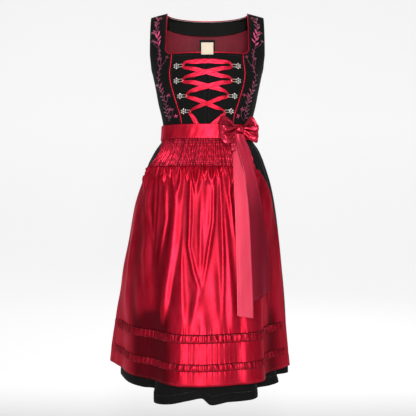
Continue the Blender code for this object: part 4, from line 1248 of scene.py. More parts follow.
def centre_front(side):
    """One centre front, from the closing to the seam, with the closing's stitched edge."""
    u, v = grid(48, 80)
    z = mix(NECKLINE_Z, WAIST_Z, v)
    seam = read(FRONT_SEAM, z, "x") - SEAM_GAP / 2
    x = mix(-seam, -SEAM_GAP / 2, u) if side < 0 else mix(SEAM_GAP / 2, seam, u)
    points = torso(x, z, -1)
    facing = normals_of(points)
    inside_edge = smooth(np.minimum(v, 1 - v) * 12)
    relief = inside_edge * (cloth_wrinkles(x, z, 0.0003) + 0.0004 * bell(np.abs(x) - 0.0024, 0.0016))
    outside = points + facing * (BODICE_WALL + relief)[..., None]
    name = f"centre_front_{SIDES[side]}"
    piece = wall(name + "_cloth", outside, BODICE_WALL, black_cloth, (0.10, 0.22), facing)
    settle(piece, name, slot="black_cloth")
    by_closing = np.abs(x[40] - side * 0.0055).argmin()
    by_seam = np.abs(np.abs(x[40]) - (seam[40] - 0.0045)).argmin()
    return sewn(outside, facing, "bodice", 2, np.s_[:-8, by_closing], np.s_[2:-8, by_seam])


def side_front(side):
    """One side front and its strap, with the neckline's rounded corner."""
    u, v = np.meshgrid(np.linspace(0, 1, 44), stretches((0, 0.5, 56), (0.5, 0.6, 16), (0.6, 1.0, 60)))
    outward = u if side > 0 else 1 - u
    fall = 1 - np.sqrt(np.maximum(0.0, 1 - np.sin(np.clip(v, 0, 0.5) * math.pi) ** 2))
    z_strap = mix(ridge_z(mix(NECK_HALF, STRAP_OUTER, outward)), NECKLINE_Z + CORNER_RADIUS, fall)
    z_corner = NECKLINE_Z + CORNER_RADIUS * (1 - np.sin((v - 0.5) * 5 * math.pi))
    z_low = mix(NECKLINE_Z, WAIST_Z, (v - 0.6) / 0.4)
    z = np.where(v < 0.5, z_strap, np.where(v < 0.6, z_corner, z_low))
    seam_x = read(FRONT_SEAM, z, "x") + SEAM_GAP / 2
    inner_x = np.where(v < 0.5, NECK_HALF, np.where(v < 0.6, neck_edge_x(z), seam_x))
    seam_angle = SEAM_GAP / 2 / read(BODICE_SECTIONS, z, "front")
    outer = armhole_angle(z) - np.where(z <= ARMHOLE_LOW_Z, seam_angle, 0)
    angle = side * mix(angle_of(inner_x, z), outer, outward)
    points = torso_round(angle, z)
    facing = round_facing(angle, z)
    inside_edge = smooth(np.minimum(np.minimum(u, 1 - u) * 8, np.minimum(v * 10, (1 - v) * 12)))
    relief = cloth_wrinkles(points[..., 0], z, 0.00035) * inside_edge
    outside = points + facing * (BODICE_WALL + relief)[..., None]
    name = f"side_front_{SIDES[side]}"
    piece = wall(name + "_cloth", outside, BODICE_WALL, black_cloth, (0.09, 0.40), facing)
    settle(piece, name, slot="black_cloth")
    neck_side, arm_side = (2, 41) if side > 0 else (41, 2)
    return sewn(outside, facing, "bodice", np.s_[1:-6, neck_side], np.s_[1:88, arm_side])


def back_edge_x(z):
    """Half width of the back centre piece: its seam below, the armhole's edge above."""
    seam = read(BACK_SEAM, np.minimum(z, BACK_SEAM_TOP_Z), "x") - SEAM_GAP / 2
    above = mix(read(BACK_SEAM, BACK_SEAM_TOP_Z, "x"), STRAP_OUTER, smooth((z - BACK_SEAM_TOP_Z) / 0.02))
    return np.where(z <= BACK_SEAM_TOP_Z, seam, above)


def back_centre():
    """The back's middle piece, which carries both straps behind, with a seam down its middle."""
    neck_share = NECK_HALF / STRAP_OUTER
    half = np.concatenate([np.linspace(0, neck_share, 32), np.linspace(neck_share + 0.003, 1, 14)])
    rows = stretches((0, 0.5, 44), (0.5, 1.0, 50))
    across, v = np.meshgrid(np.concatenate([half[::-1], -half[1:]]), rows)
    rough = across * STRAP_OUTER
    inside_neck = np.abs(rough) <= NECK_HALF + 1e-6
    top = np.where(inside_neck, BACK_NECK_Z, ridge_z(rough))
    down = np.clip(2 * v, 0, 1)
    upper = mix(top, BACK_SEAM_TOP_Z, np.where(inside_neck, mix(down**2, down, 0.4), down**2))
    z = np.where(v < 0.5, upper, mix(BACK_SEAM_TOP_Z, WAIST_Z, 2 * v - 1))
    x = across * back_edge_x(z)
    facing = torso_facing(x, z, 1, 4e-4)
    inside_edge = smooth(np.minimum((1 - np.abs(across)) * 10, np.minimum(v * 14, (1 - v) * 12)))
    relief = cloth_wrinkles(x, z) * inside_edge + 0.0005 * bell(x, 0.0018) * smooth((-0.02 - z) / 0.02)
    outside = torso(x, z, 1) + facing * (BODICE_WALL + relief)[..., None]
    piece = wall("back_centre_cloth", outside, BODICE_WALL, black_cloth, (0.25, 0.36), facing)
    settle(piece, "back_centre", slot="black_cloth")
    arms = np.s_[2:44, 2], np.s_[2:44, -3]
    seams = np.s_[44:-6, 1], np.s_[44:-6, -2], np.s_[9:-6, 43]
    return sewn(outside, facing, "bodice", np.s_[2, 15:-15], *arms, *seams)


def back_side(side):
    """One back side, from the curved seam to the side seam under the armhole."""
    u, v = grid(44, 70)
    near = u if side < 0 else 1 - u
    z = mix(mix(BACK_SEAM_TOP_Z, ARMHOLE_LOW_Z, np.sin(near * math.pi / 2)), WAIST_Z, v)
    inner = angle_of(read(BACK_SEAM, z, "x") + SEAM_GAP / 2, z)
    outer = math.pi / 2 - SEAM_GAP / 2 / read(BODICE_SECTIONS, z, "back")
    angle = side * (math.pi - mix(inner, np.maximum(outer, inner), near))
    points = torso_round(angle, z)
    facing = round_facing(angle, z)
    inside_edge = smooth(np.minimum(np.minimum(u, 1 - u) * 8, np.minimum(v, 1 - v) * 12))
    outside = points + facing * (BODICE_WALL + cloth_wrinkles(points[..., 0], z) * inside_edge)[..., None]
    outside, facing = turned_out(outside, facing)
    name = f"back_side_{SIDES[side]}"
    piece = wall(name + "_cloth", outside, BODICE_WALL, black_cloth, (0.10, 0.21), facing)
    settle(piece, name, slot="black_cloth")
    return sewn(outside, facing, "bodice", 2)


front_rows = centre_front(-1) + side_front(-1) + centre_front(1) + side_front(1)
sew("bodice_front_stitches", front_rows, "bodice", black_thread, "black_cloth")
back_rows = back_centre() + back_side(-1) + back_side(1)
sew("bodice_back_stitches", back_rows, "bodice", black_thread, "black_cloth")


def facing_low_z(x):
    share = np.minimum(np.abs(x) / NECK_HALF, 1.0)
    return BACK_NECK_Z - FACING_DEPTH + FACING_SIDE_RISE * share**2


def back_facing():
    """The black facing under the back neck."""
    u, v = grid(110, 22)
    x = mix(-1, 1, u) * (NECK_HALF - 0.002)
    top_z = BACK_NECK_Z - 0.001 - 0.008 * (x / NECK_HALF) ** 4
    z = mix(top_z, facing_low_z(x), v**1.3)
    shown, facing = inside_back(x, z, FACING_GAP + LINING_WALL)
    piece = wall("back_facing_cloth", shown, LINING_WALL, black_facing, (0.23, 0.045), facing)
    settle(piece, "back_facing", slot="black_cloth")
    sew("back_facing_stitches", sewn(shown, facing, "facing", -2), "facing", black_thread, "black_cloth")


def back_lining():
    """The maroon lining below the facing, with faint creases along its seams."""
    u, v = grid(100, 40)
    across = mix(-1, 1, u)
    z = mix(facing_low_z(across * STRAP_OUTER) - 0.0006, LINING_LOW_Z, v)
    turn = armhole_angle(z) - mix(0.05, 0.15, smooth((z - ARMHOLE_LOW_Z) / 0.03))
    angle = math.pi - across * turn
    points = torso_round(angle, z)
    out = round_facing(angle, z)
    x = points[..., 0]
    creases = 0.0009 * bell(np.abs(x) - 0.050 - 0.06 * (z + 0.1), 0.0016, 1.6)
    creases += 0.0006 * bell(x - 0.004, 0.0012)
    soft = 0.0006 * np.sin(95 * x + 3) * np.sin(17 * z) * smooth((-0.055 - z) / 0.02)
    depth = LINING_GAP + LINING_WALL + creases + np.maximum(soft, 0)
    inside, facing = turned_out(points - out * depth[..., None], -out)
    piece = wall("back_lining_cloth", inside, LINING_WALL, maroon_lining, (0.33, 0.30), facing)
    settle(piece, "back_lining", slot="maroon_lining")


def neckline():
    """Points of the front neckline's piping seen flat: down a strap, round the corner and to the middle."""
    away = PIPING_RADIUS + PIPING_GAP
    corner_x, corner_z = NECK_HALF - CORNER_RADIUS, NECKLINE_Z + CORNER_RADIUS
    share = np.linspace(0, 1, 60)
    strap_z = mix(ridge_z(NECK_HALF) - 0.0035, corner_z, share**1.3)
    strap = np.stack([0 * share + NECK_HALF - away, strap_z], -1)
    bend = np.linspace(0, math.pi / 2, 18)[1:]
    reach = CORNER_RADIUS - away
    corner = np.stack([corner_x + reach * np.cos(bend), corner_z - reach * np.sin(bend)], -1)
    share = np.linspace(0, 1, 40)[1:]
    low = np.stack([corner_x * (1 - share), 0 * share + NECKLINE_Z + away], -1)
    half = np.concatenate([strap, corner, low])
    return np.concatenate([half * (-1, 1), half[-2::-1]])


def piping(name, path):
    """Round satin piping along a path, a little uneven from its twist."""
    swell = 0.97 + 0.05 * np.sin(reach_along(path) * 2 * math.pi / 0.0045)
    swell[:2] = swell[-2:] = 0.9
    settle(tube(name + "_cord", path, PIPING_RADIUS, 14, red_piping, swell), name, slot="red_piping")


back_facing()
back_lining()
points, out = on_front(*neckline().T)
piping("neck_piping_front", points + out * BODICE_WALL / 2)
neck_x = np.linspace(-1, 1, 120) * (NECK_HALF - 0.001)
points, inward = inside_back(neck_x, 0 * neck_x + BACK_NECK_Z, 0)
piping("neck_piping_back", points - inward * BODICE_WALL / 2 + np.array([0, 0, PIPING_RADIUS + PIPING_GAP]))
seam_z = np.linspace(NECKLINE_Z - 0.001, BAND_TOP_Z + 0.001, 120)
for side, side_name in SIDES.items():
    points, out = on_front(side * read(FRONT_SEAM, seam_z, "x"), seam_z)
    piping(f"front_piping_{side_name}", points + out * (BODICE_WALL + SEAM_GAP + PIPING_RADIUS))


# The waistband, its tie and the bow

BAND_END_ANGLE = 0.0025
# Crumples of each loop's front: how far out and how far up across the ribbon, the height, the half length,
# the half width and the turn
LEFT_CRUMPLES = (
    (0.72, 0.22, 0.0050, 0.34, 0.10, 0.5),
    (0.60, 0.50, -0.0046, 0.36, 0.07, 0.2),
    (0.66, 0.82, 0.0040, 0.40, 0.09, -0.3),
    (0.90, 0.40, 0.0026, 0.12, 0.10, 1.2),
)
RIGHT_CRUMPLES = (
    (0.68, 0.84, 0.0050, 0.30, 0.10, -0.5),
    (0.80, 0.66, -0.0036, 0.22, 0.06, 0.6),
    (0.58, 0.48, -0.0044, 0.40, 0.07, -0.1),
    (0.74, 0.28, 0.0042, 0.34, 0.11, 0.3),
)
TAILS_CROSS_Z = -0.470
# Folds of each tail: how far across, the height, the half width, where they start and end, and their drift
FRONT_TAIL_FOLDS = (
    (0.62, 0.0012, 0.22, 0.02, 0.20, 0.30),
    (0.50, 0.0007, 0.30, 0.20, 0.90, -0.10),
    (0.24, 0.0006, 0.18, 0.50, 1.10, 0.00),
)
BACK_TAIL_FOLDS = (
    (0.40, 0.0022, 0.20, -0.1, 0.16, 0.40),
    (0.86, 0.0012, 0.12, -0.1, 0.30, 0.00),
    (0.60, 0.0008, 0.24, 0.30, 1.20, 0.05),
)


def band_piece(name, start, end, node, columns, width):
    """A stretch of the waistband, a little uneven, with stitching along both edges."""
    u, v = grid(columns, 18)
    z = mix(BAND_TOP_Z, BAND_LOW_Z, v)
    angle = mix(start, end, u)
    facing = round_facing(angle, z)
    across = np.sin(math.pi * v)
    wave = 0.0006 * np.sin(17 * angle + 2) * across + 0.0002 * np.sin(43 * angle + 5 * v)
    pucker = 0.0003 * np.sin(110 * angle) * (bell(v - 0.93, 0.10) + bell(v - 0.07, 0.08))
    edge = 0.0005 * (smooth(np.minimum(v, 1 - v) * 8) - 1)
    lift = BAND_LIFT + BAND_WALL + wave * across + pucker + edge
    outside = torso_round(angle, z) + facing * lift[..., None]
    piece = wall(name, outside, BAND_WALL, band_satin, (width, 0.042), facing)
    settle(piece, node, slot="red_satin")
    sew(name + "_stitches", sewn(outside, facing, "band", 2, 16), "band", red_thread, "red_satin")


left_end, right_end = math.radians(APRON_LEFT_EDGE[0]), math.radians(APRON_RIGHT_EDGE[0])
front_ends = left_end + BAND_END_ANGLE, right_end - BAND_END_ANGLE
band_piece("waistband_front", *front_ends, "apron_waistband", 160, 0.30)
band_piece("waistband_back", right_end, left_end + 2 * math.pi, "apron_tie_back", 200, 0.46)

knot_base, knot_out = on_front(KNOT_X, KNOT_Z)
knot_out = unit(knot_out * (1, 1, 0))
knot_side = np.array([-knot_out[1], knot_out[0], 0])
knot_at = knot_base + knot_out * KNOT_LIFT
knot_ways = np.array([knot_side, knot_out, (0, 0, 1)])


def by_knot(aside, out, up):
    """Points near the knot, from their distances to its side, out of the cloth and up."""
    return knot_at + np.stack([aside, out, up], -1) @ knot_ways


def bow_loop(name, side, length, front_tilt, back_tilt, half_width, bulge, crumples):
    """A ribbon that runs out of the knot, turns over at its far end and comes back, creased at the knot."""
    wide, deep = 110, 34
    u, v = grid(wide, deep)
    start = 0.08
    turn = mix(start, 1 - start, u) * math.pi
    least = math.sin(start * math.pi)
    out_share = np.clip((np.sin(turn) - least) / (1 - least), 0, 1)
    reach = 0.0122 + length * out_share**0.9
    front = u < 0.5
    tilt = mix(front_tilt, back_tilt, smooth(u))
    half = half_width * mix(0.22, 1.12, out_share**0.6) * (1 - 0.42 * out_share**7)
    edge = mix(-half, half, v)
    lean = tilt * 0.35
    near_knot = (1 - out_share) ** 1.4
    ripple = np.sin(v * math.pi * 5.2 + 0.7 + 1.2 * out_share)
    creases = 0.0036 * near_knot * ripple * smooth(out_share * 6)
    creases += 0.0030 * bell(v - 0.30 - 0.16 * out_share, 0.07) * smooth(out_share * 3) * (1 - out_share**3)
    creases -= 0.0034 * bell(v - 0.66 + 0.10 * out_share, 0.09) * smooth(out_share * 3) * (1 - out_share**4)
    for at_out, at_v, height, long, wide_share, turned in crumples:
        away, beside = out_share - at_out, v - at_v
        along = away * math.cos(turned) + beside * math.sin(turned)
        across = beside * math.cos(turned) - away * math.sin(turned)
        creases += height * bell(along, long) * bell(across, wide_share, 1.6) * smooth((1 - out_share) * 5)
    puff = np.sin(2 * math.pi * u) * np.where(front, bulge, bulge * 0.35)
    depth = 0.0013 * np.cos(math.pi * u) + puff + creases * np.where(front, 1, -0.5)
    aside = side * (reach - edge * np.sin(lean))
    middle = by_knot(aside, depth, tilt * (reach - 0.0125) + edge * np.cos(lean))
    facing = normals_of(middle)
    outside = middle + facing * (RIBBON_WALL / 2)
    # Painted shade: darker in the creases by the knot, along the crease across the front and on the loop's
    # inner layer
    shade_and_tarnish = 0.8 * smooth(near_knot) * smooth(0.6 - ripple) + np.where(front, 0.5 * bell(v - 0.66, 0.12), 0)
    shade_and_tarnish += 0.45 * (u > 0.5)
    shade_and_tarnish = np.clip(shade_and_tarnish * smooth((1.02 - out_share) * 4), 0, 1)
    size = 2 * length, 2 * half_width
    piece = wall(name + "_cloth", outside, RIBBON_WALL, tie_satin, size, facing, shade_and_tarnish)
    settle(piece, name, slot="red_satin")
    return sewn(outside, facing, "bow", 2, deep - 2)


def knot():
    """The knot: a short turn of ribbon, with folds that run round it."""
    turn, along = np.meshgrid(np.linspace(0, 2 * math.pi, 90)[:-1], np.linspace(0, math.pi, 40))
    creases = 1 + 0.10 * np.sin(along * 7 + 0.6 * np.sin(turn)) * np.sin(along)
    creases += 0.04 * np.sin(3 * turn + 2 * along)
    half_width, half_depth, half_height = 0.0125, 0.0075, 0.0085
    boxy = np.sin(along) ** 0.75 * creases
    out, up = half_depth * boxy * np.cos(turn), half_height * boxy * np.sin(turn)
    points = by_knot(-half_width * np.cos(along), out, up)
    deep, wide = turn.shape
    uv = np.stack(np.meshgrid(np.linspace(0, 0.05, wide), np.linspace(0, 0.025, deep)), -1)
    faces = grid_faces(wide, deep, ring=True)[:, ::-1]
    piece = make_object("bow_knot_cloth", points.reshape(-1, 3), [faces], tie_satin, uv.reshape(-1, 2))
    merge(piece)
    settle(piece, "bow_knot", slot="red_satin")


def tail(name, table, slant, folds, finish, painted_shade_at):
    """A free end of the tie that hangs over the apron, with long soft folds and a hemmed end."""
    top, low = rows_of(table)[0][0], rows_of(table)[-1][0]
    u, v = grid(30, 150)
    z = mix(top, low + slant * (2 * u - 1), v)
    x = mix(read(table, z, "left_x"), read(table, z, "right_x"), u)
    relief = 0.0003 * np.sin(31 * v + 3 * u) * np.sin(math.pi * u)
    for at, height, half_width, begin, end, drift in folds:
        along = smooth((v - begin) * 9) * smooth((end - v) * 7)
        relief += height * along * bell(u - at - drift * v, half_width, 1.7)
    relief += 0.0004 * bell(np.minimum(u, 1 - u) - 0.07, 0.05) + 0.0005 * bell(1 - v, 0.010)
    points = hanging(x, z, read(table, z, "lift") + relief)
    facing = normals_of(points)
    outside = points + facing * RIBBON_WALL
    piece = wall(name + "_cloth", outside, RIBBON_WALL, finish, (0.055, 0.48), facing, painted_shade_at(x, z))
    settle(piece, name, slot="red_satin")
    round(top - low, 3)
    return sewn(outside, facing, "bow", np.s_[:, 2], np.s_[:, -3], -4)


def painted_shadow_under_back_tail(x, z):
    """Painted shadow on the front tail along the back one's edge above their crossing, and painted shade
    that deepens down the tail.
    """
    beside = 0.9 * bell(x - read(BACK_TAIL, z, "left_x"), 0.0035) * smooth((z - TAILS_CROSS_Z) / 0.03)
    return np.maximum(beside, 0.26 * smooth((-0.52 - z) / 0.22))


def painted_shadow_beside_front_tail(x, z):
    """Painted shadow on the back tail along the front one's edge below their crossing, and painted shade
    that deepens down the tail.
    """
    beside = 0.9 * bell(x - read(FRONT_TAIL, z, "right_x"), 0.0035) * smooth((TAILS_CROSS_Z - z) / 0.03)
    return np.maximum(beside, 0.84 * smooth((-0.40 - z) / 0.18))


def fold_under_knot():
    """The short folded bit of tie that peeps out under the knot, over the top of the front tail."""
    u, v = grid(36, 40)
    x = KNOT_X + mix(-0.0200, -0.0035 - 0.002 * v, u) + 0.008 * (1 - v) ** 2 * (1 - u)
    z = mix(KNOT_Z - 0.010, KNOT_Z - 0.060, v) - 0.002 * np.sin(math.pi * u) * v
    folds = 0.0034 * bell(u - 0.26 - 0.2 * v, 0.13) * smooth(2.4 - 3 * v)
    folds += 0.0026 * bell(u - 0.80, 0.12) * smooth(2 - 2.4 * v)
    roll = 0.0048 * bell(v - 0.84, 0.10) * smooth(4 * u) + 0.0016 * bell(v - 0.62, 0.05)
    outside = hanging(x, z, 0.0145 + 0.0030 * (1 - v) + folds + roll)
    facing = normals_of(outside)
    # Painted shade: darker in the folds and in a line under the rolled lower end
    shade_and_tarnish = np.maximum(smooth(0.9 - (folds + roll) / 0.0036), smooth((v - 0.93) / 0.05))
    piece = wall("bow_under_fold", outside, RIBBON_WALL, back_tail_satin_painted_lit, (0.03, 0.05), facing, shade_and_tarnish)
    settle(piece, slot="red_satin")


loop_rows = bow_loop("bow_loop_left", -1, 0.056, -0.58, 0.46, 0.0270, 0.0150, LEFT_CRUMPLES)
loop_rows += bow_loop("bow_loop_right", 1, 0.045, -0.56, 0.66, 0.0265, 0.0140, RIGHT_CRUMPLES)
knot()
loop_rows += tail("bow_tail_front", FRONT_TAIL, -0.004, FRONT_TAIL_FOLDS, tail_satin_painted_lit, painted_shadow_under_back_tail)
loop_rows += tail("bow_tail_back", BACK_TAIL, 0.010, BACK_TAIL_FOLDS, back_tail_satin_painted_lit, painted_shadow_beside_front_tail)
sew("bow_stitches", loop_rows, "bow", red_thread, "red_satin")
fold_under_knot()


# Hooks, lace and label

# The cast flower of a hook, the bend and radius of its wire, and where it lies off the bodice's inner face
HOOK_PETALS = 6
HOOK_RADIUS = 0.0076
HOOK_DOME = 0.0011
HOOK_LOOP_HALF = 0.0035
HOOK_WIRE_RADIUS = 0.0009
HOOK_LIFT = BODICE_WALL + 0.0003
# The lace's whole way: a point at each hook's loop and between, with its height off the cloth and its
# width's share
LACE_WAY = (
    ("x", "z", "lift", "width"),
    (-0.0260, -0.3290, 0.0012, 0.95),
    (-0.0390, -0.3060, 0.0018, 0.90),
    (-0.0470, -0.2915, 0.0026, 0.50),
    (-0.0440, -0.2885, 0.0030, 0.45),
    (-0.0200, -0.2760, 0.0048, 0.80),
    (0.0060, -0.2665, 0.0052, 0.72),
    (0.0360, -0.2555, 0.0030, 0.90),
    (0.0560, -0.2480, 0.0024, 0.50),
    (0.0530, -0.2420, 0.0030, 0.48),
    (0.0300, -0.2310, 0.0022, 1.00),
    (0.0000, -0.2240, 0.0016, 1.00),
    (-0.0350, -0.2150, 0.0022, 0.95),
    (-0.0650, -0.2070, 0.0026, 0.50),
    (-0.0630, -0.2040, 0.0030, 0.48),
    (-0.0350, -0.1950, 0.0030, 0.95),
    (0.0000, -0.1870, 0.0050, 1.00),
    (0.0350, -0.1780, 0.0030, 0.95),
    (0.0650, -0.1690, 0.0026, 0.50),
    (0.0620, -0.1630, 0.0030, 0.50),
    (0.0360, -0.1590, 0.0020, 1.00),
    (0.0000, -0.1572, 0.0016, 1.00),
    (-0.0360, -0.1590, 0.0020, 1.00),
    (-0.0620, -0.1630, 0.0030, 0.50),
    (-0.0650, -0.1690, 0.0026, 0.50),
    (-0.0350, -0.1790, 0.0022, 0.95),
    (0.0000, -0.1880, 0.0016, 1.00),
    (0.0350, -0.1970, 0.0022, 0.95),
    (0.0630, -0.2040, 0.0030, 0.48),
    (0.0650, -0.2070, 0.0026, 0.50),
    (0.0350, -0.2160, 0.0030, 0.95),
    (0.0000, -0.2250, 0.0050, 1.00),
    (-0.0300, -0.2330, 0.0030, 1.00),
    (-0.0530, -0.2430, 0.0030, 0.48),
    (-0.0560, -0.2480, 0.0024, 0.50),
    (-0.0360, -0.2570, 0.0022, 0.90),
    (-0.0060, -0.2680, 0.0016, 0.95),
    (0.0200, -0.2790, 0.0022, 0.90),
    (0.0440, -0.2885, 0.0030, 0.45),
    (0.0470, -0.2915, 0.0026, 0.50),
    (0.0350, -0.3080, 0.0018, 0.90),
    (0.0110, -0.3290, 0.0012, 0.95),
)


def hook_plate(place):
    """The cast flower of a hook: a ring of petals round a bead. Place turns distances towards the centre,
    across and off the cloth into points."""
    turn, ring = np.meshgrid(np.linspace(0, 2 * math.pi, 73)[:-1], np.linspace(0, 1, 22))
    wave = np.cos(HOOK_PETALS * turn + math.pi)
    radius = HOOK_RADIUS * ring * mix(1.0, 1 + 0.13 * wave, smooth(ring * 1.4))
    height = HOOK_DOME * np.sqrt(np.maximum(0, 1 - (ring * 0.97) ** 6))
    height += HOOK_DOME * bell(ring - 0.68, 0.24) * (0.62 + 0.38 * wave)
    height += 0.0016 * bell(ring, 0.22, 3.0) + 0.0003 * bell(ring - 0.40, 0.05) * np.cos(18 * turn)
    top = place(radius * np.cos(turn), radius * np.sin(turn), height)
    low = place(radius[-1:] * np.cos(turn[-1:]), radius[-1:] * np.sin(turn[-1:]), 0.0)
    rings = np.concatenate([top[1:], low])
    deep, columns = rings.shape[:2]
    tip = deep * columns
    points = np.concatenate([rings.reshape(-1, 3), top[0, :1], place(0.0, 0.0, 0.0)[None]])
    first = np.arange(columns)
    last = first[::-1] + tip - columns
    blocks = [grid_faces(columns, deep, ring=True), fan(first, tip), fan(last, tip + 1)]
    between_petals = smooth((0.1 - wave) / 0.7) * bell(ring - 0.78, 0.24)
    shade_and_tarnish = np.maximum(bell(ring - 0.36, 0.12), between_petals)
    shade_and_tarnish = np.concatenate([shade_and_tarnish[1:].ravel(), shade_and_tarnish[-1], [0, 1]])
    plate = make_object("hook", points, blocks, old_silver, np.zeros((len(points), 2)), shade_and_tarnish)
    merge(plate)
    return plate


def hook_wire():
    """The bent wire of a hook, as distances towards the centre, across and off the cloth at even steps."""
    half = HOOK_LOOP_HALF
    legs = np.array([(0.0045, half * 0.7, 0.0006), (0.0075, half * 0.85, 0.0010)])
    bend = np.linspace(0, math.pi, 22)
    tip = HOOK_REACH - half - 0.0012
    loop = np.stack([tip + half * np.sin(bend), -half * np.cos(bend), 0.0011 + 0.0009 * np.sin(bend)], -1)
    wire = np.concatenate([legs * (1, -1, 1), loop, legs[::-1]])
    reach = reach_along(wire)
    return spaced(wire, reach, np.linspace(0, reach[-1], 60)) + (0, 0, 0.0008)


def hook(side, z, x, row):
    """A cast flower plate with a bent wire loop that points to the centre."""
    _, out = on_front(side * x, z)
    inward = np.array([-side, 0, 0.0])
    inward = unit(inward - out * inward.dot(out))
    across = np.cross(out, inward)[2]

    def place(inwards, up, off):
        """Points at distances towards the centre, across and off the cloth."""
        inwards, up, off = np.broadcast_arrays(inwards, up, off)
        ground, facing = on_front(side * x - side * inwards, z + up * (across if abs(across) > 0.1 else 1))
        return ground + facing * (HOOK_LIFT + off)[..., None]

    name = f"hook_{SIDES[side]}_{row}"
    plate = hook_plate(place)
    path = place(*hook_wire().T)
    loop = tube(name + "_loop", path, HOOK_WIRE_RADIUS, 12, old_silver, np.ones(len(path)))
    both = [plate, loop]
    with bpy.context.temp_override(
        active_object=plate, object=plate, selected_objects=both, selected_editable_objects=both
    ):
        bpy.ops.object.join()
    plate.name = name + "_silver"
    settle(plate, name, slot="old_silver")


def lace():
    """The one satin ribbon that runs through all the hooks, gathered where it passes a loop."""
    way = smooth_way(LACE_WAY, 460)
    x, z, lift, width = way.T
    ground, out = on_front(x, z)
    along = unit(np.gradient(ground + out * lift[:, None], axis=0))
    sideways = unit(np.cross(out, along))
    v = np.linspace(-1, 1, 19)
    gathered = 1 - width
    reach = reach_along(ground)
    crest = 0.0003 * np.cos(v * math.pi / 2) + np.outer(gathered, 0.0022 * np.cos(v * math.pi * 2.5))
    crest += 0.0003 * np.outer(np.sin(reach * 260), np.sin(v * math.pi))
    raised = out[:, None] * (BODICE_WALL + lift[:, None] + crest)[..., None]
    points = ground[:, None] + raised + sideways[:, None] * (LACE_WIDTH / 2 * np.outer(width, v))[..., None]
    facing = normals_of(points)
    if np.sum(facing * out[:, None]) < 0:
        points = points[:, ::-1]
        facing = normals_of(points)
    outside = points + facing * (RIBBON_WALL / 2)
    piece = wall("lace_ribbon", outside, RIBBON_WALL, lace_satin, (LACE_WIDTH, reach[-1]), facing)
    nodes = ["lace_top", "lace_end_left", "lace_end_right"]
    nodes += [f"lace_{i}_down_{side}" for i in (1, 2, 3) for side in SIDES.values()]
    settle(piece, *nodes, slot="lace_satin")


def near_front(u, v, width, top_z, low_z, off):
    """Points of a small flat piece that follows the front's curve, at a distance from its inner face."""
    z = mix(top_z, low_z, v)
    x = mix(-0.5, 0.5, u) * width
    return np.stack([x, torso(x, np.minimum(z, NECKLINE_Z), -1)[..., 1] + off, z], -1)


def label():
    """The blank woven label on its black tab, with a sewn edge."""
    u, v = grid(24, 26)
    soft = 0.0003 * np.sin(7 * u + 2) * np.sin(6 * v)
    tab = near_front(u, v, LABEL_TAB_WIDTH, LABEL_TAB_TOP_Z, LABEL_TAB_LOW_Z, LABEL_TAB_IN + soft)
    facing = normals_of(tab)
    outside = tab + facing * LINING_WALL
    piece = wall("label_tab_cloth", outside, LINING_WALL, black_facing, (0.042, 0.052), facing)
    settle(piece, "label_tab", slot="black_cloth")

    edge = np.minimum(np.minimum(u, 1 - u), np.minimum(v, 1 - v))
    pulled = -0.0005 * bell(edge - 0.06, 0.03) + 0.0003 * np.sin(3 * u + 1) * np.sin(4 * v)
    face = near_front(u, v, LABEL_SIDE, LABEL_LOW_Z + LABEL_SIDE, LABEL_LOW_Z, -LABEL_OUT - pulled)
    facing = normals_of(face)
    outside = face + facing * LINING_WALL
    piece = wall("label_cloth", outside, LINING_WALL, cream_label, (0.033, 0.033), facing)
    settle(piece, "label", slot="cream_label")
    edges = np.s_[3, 3:-3], np.s_[-4, 3:-3], np.s_[3:-3, 3], np.s_[3:-3, -4]
    sew("label_stitches", sewn(outside, facing, "label", *edges), "label", cream_thread, "cream_label")


for row, (z, x) in enumerate(rows_of(HOOKS), 1):
    for side in SIDES:
        hook(side, z, x, row)
lace()
label()


# The embroidery: flowers, leaves and buds on two vines

# The vine's way on the left front; the right one mirrors it, a little closer to the centre
VINE = (
    ("x", "z"),
    (0.140, -0.016),
    (0.143, -0.050),
    (0.138, -0.090),
    (0.131, -0.125),
    (0.130, -0.165),
    (0.136, -0.197),
    (0.127, -0.230),
    (0.115, -0.262),
    (0.113, -0.290),
    (0.104, -0.314),
)
# Stretches of the vine, with leaves in pairs that lean up and away from it
SPRAYS = (
    ("top_z", "low_z", "pitch", "length", "lean", "shade"),
    (-0.024, -0.066, 0.0130, 0.0125, 40, 1),
    (-0.072, -0.112, 0.0145, 0.0165, 34, 2),
    (-0.124, -0.150, 0.0095, 0.0080, 30, 0),
    (-0.168, -0.206, 0.0150, 0.0085, 48, 0),
    (-0.214, -0.264, 0.0115, 0.0110, 42, 1),
    (-0.270, -0.312, 0.0105, 0.0085, 58, 0),
)
# Short stems that leave the vine, towards the centre or away from it, and end in three buds
TWIGS = (
    ("z", "inward", "length"),
    (-0.112, -1, 0.024),
    (-0.164, 1, 0.022),
    (-0.164, -1, 0.020),
    (-0.262, 1, 0.015),
    (-0.300, 1, 0.016),
    (-0.314, 1, 0.026),
)
FLOWERS = (
    ("z", "inward", "petal", "petals", "shade"),
    (-0.013, 0.009, 0.0055, 5, 0),
    (-0.062, -0.012, 0.0040, 3, 0),
    (-0.243, 0.018, 0.0055, 4, 1),
    (-0.281, 0.012, 0.0062, 4, 1),
    (-0.301, 0.021, 0.0062, 5, 2),
)
# The thread of each shade
SHADES = (magenta_thread, raspberry_thread, bright_thread)
# The rise of a leaf one unit long, how far each stem stitch leans, and the length and thickness of a knot
LEAF_RISE = 0.10
STEM_LEAN = 0.32
KNOT_STITCH = (0.0022, 0.0017)


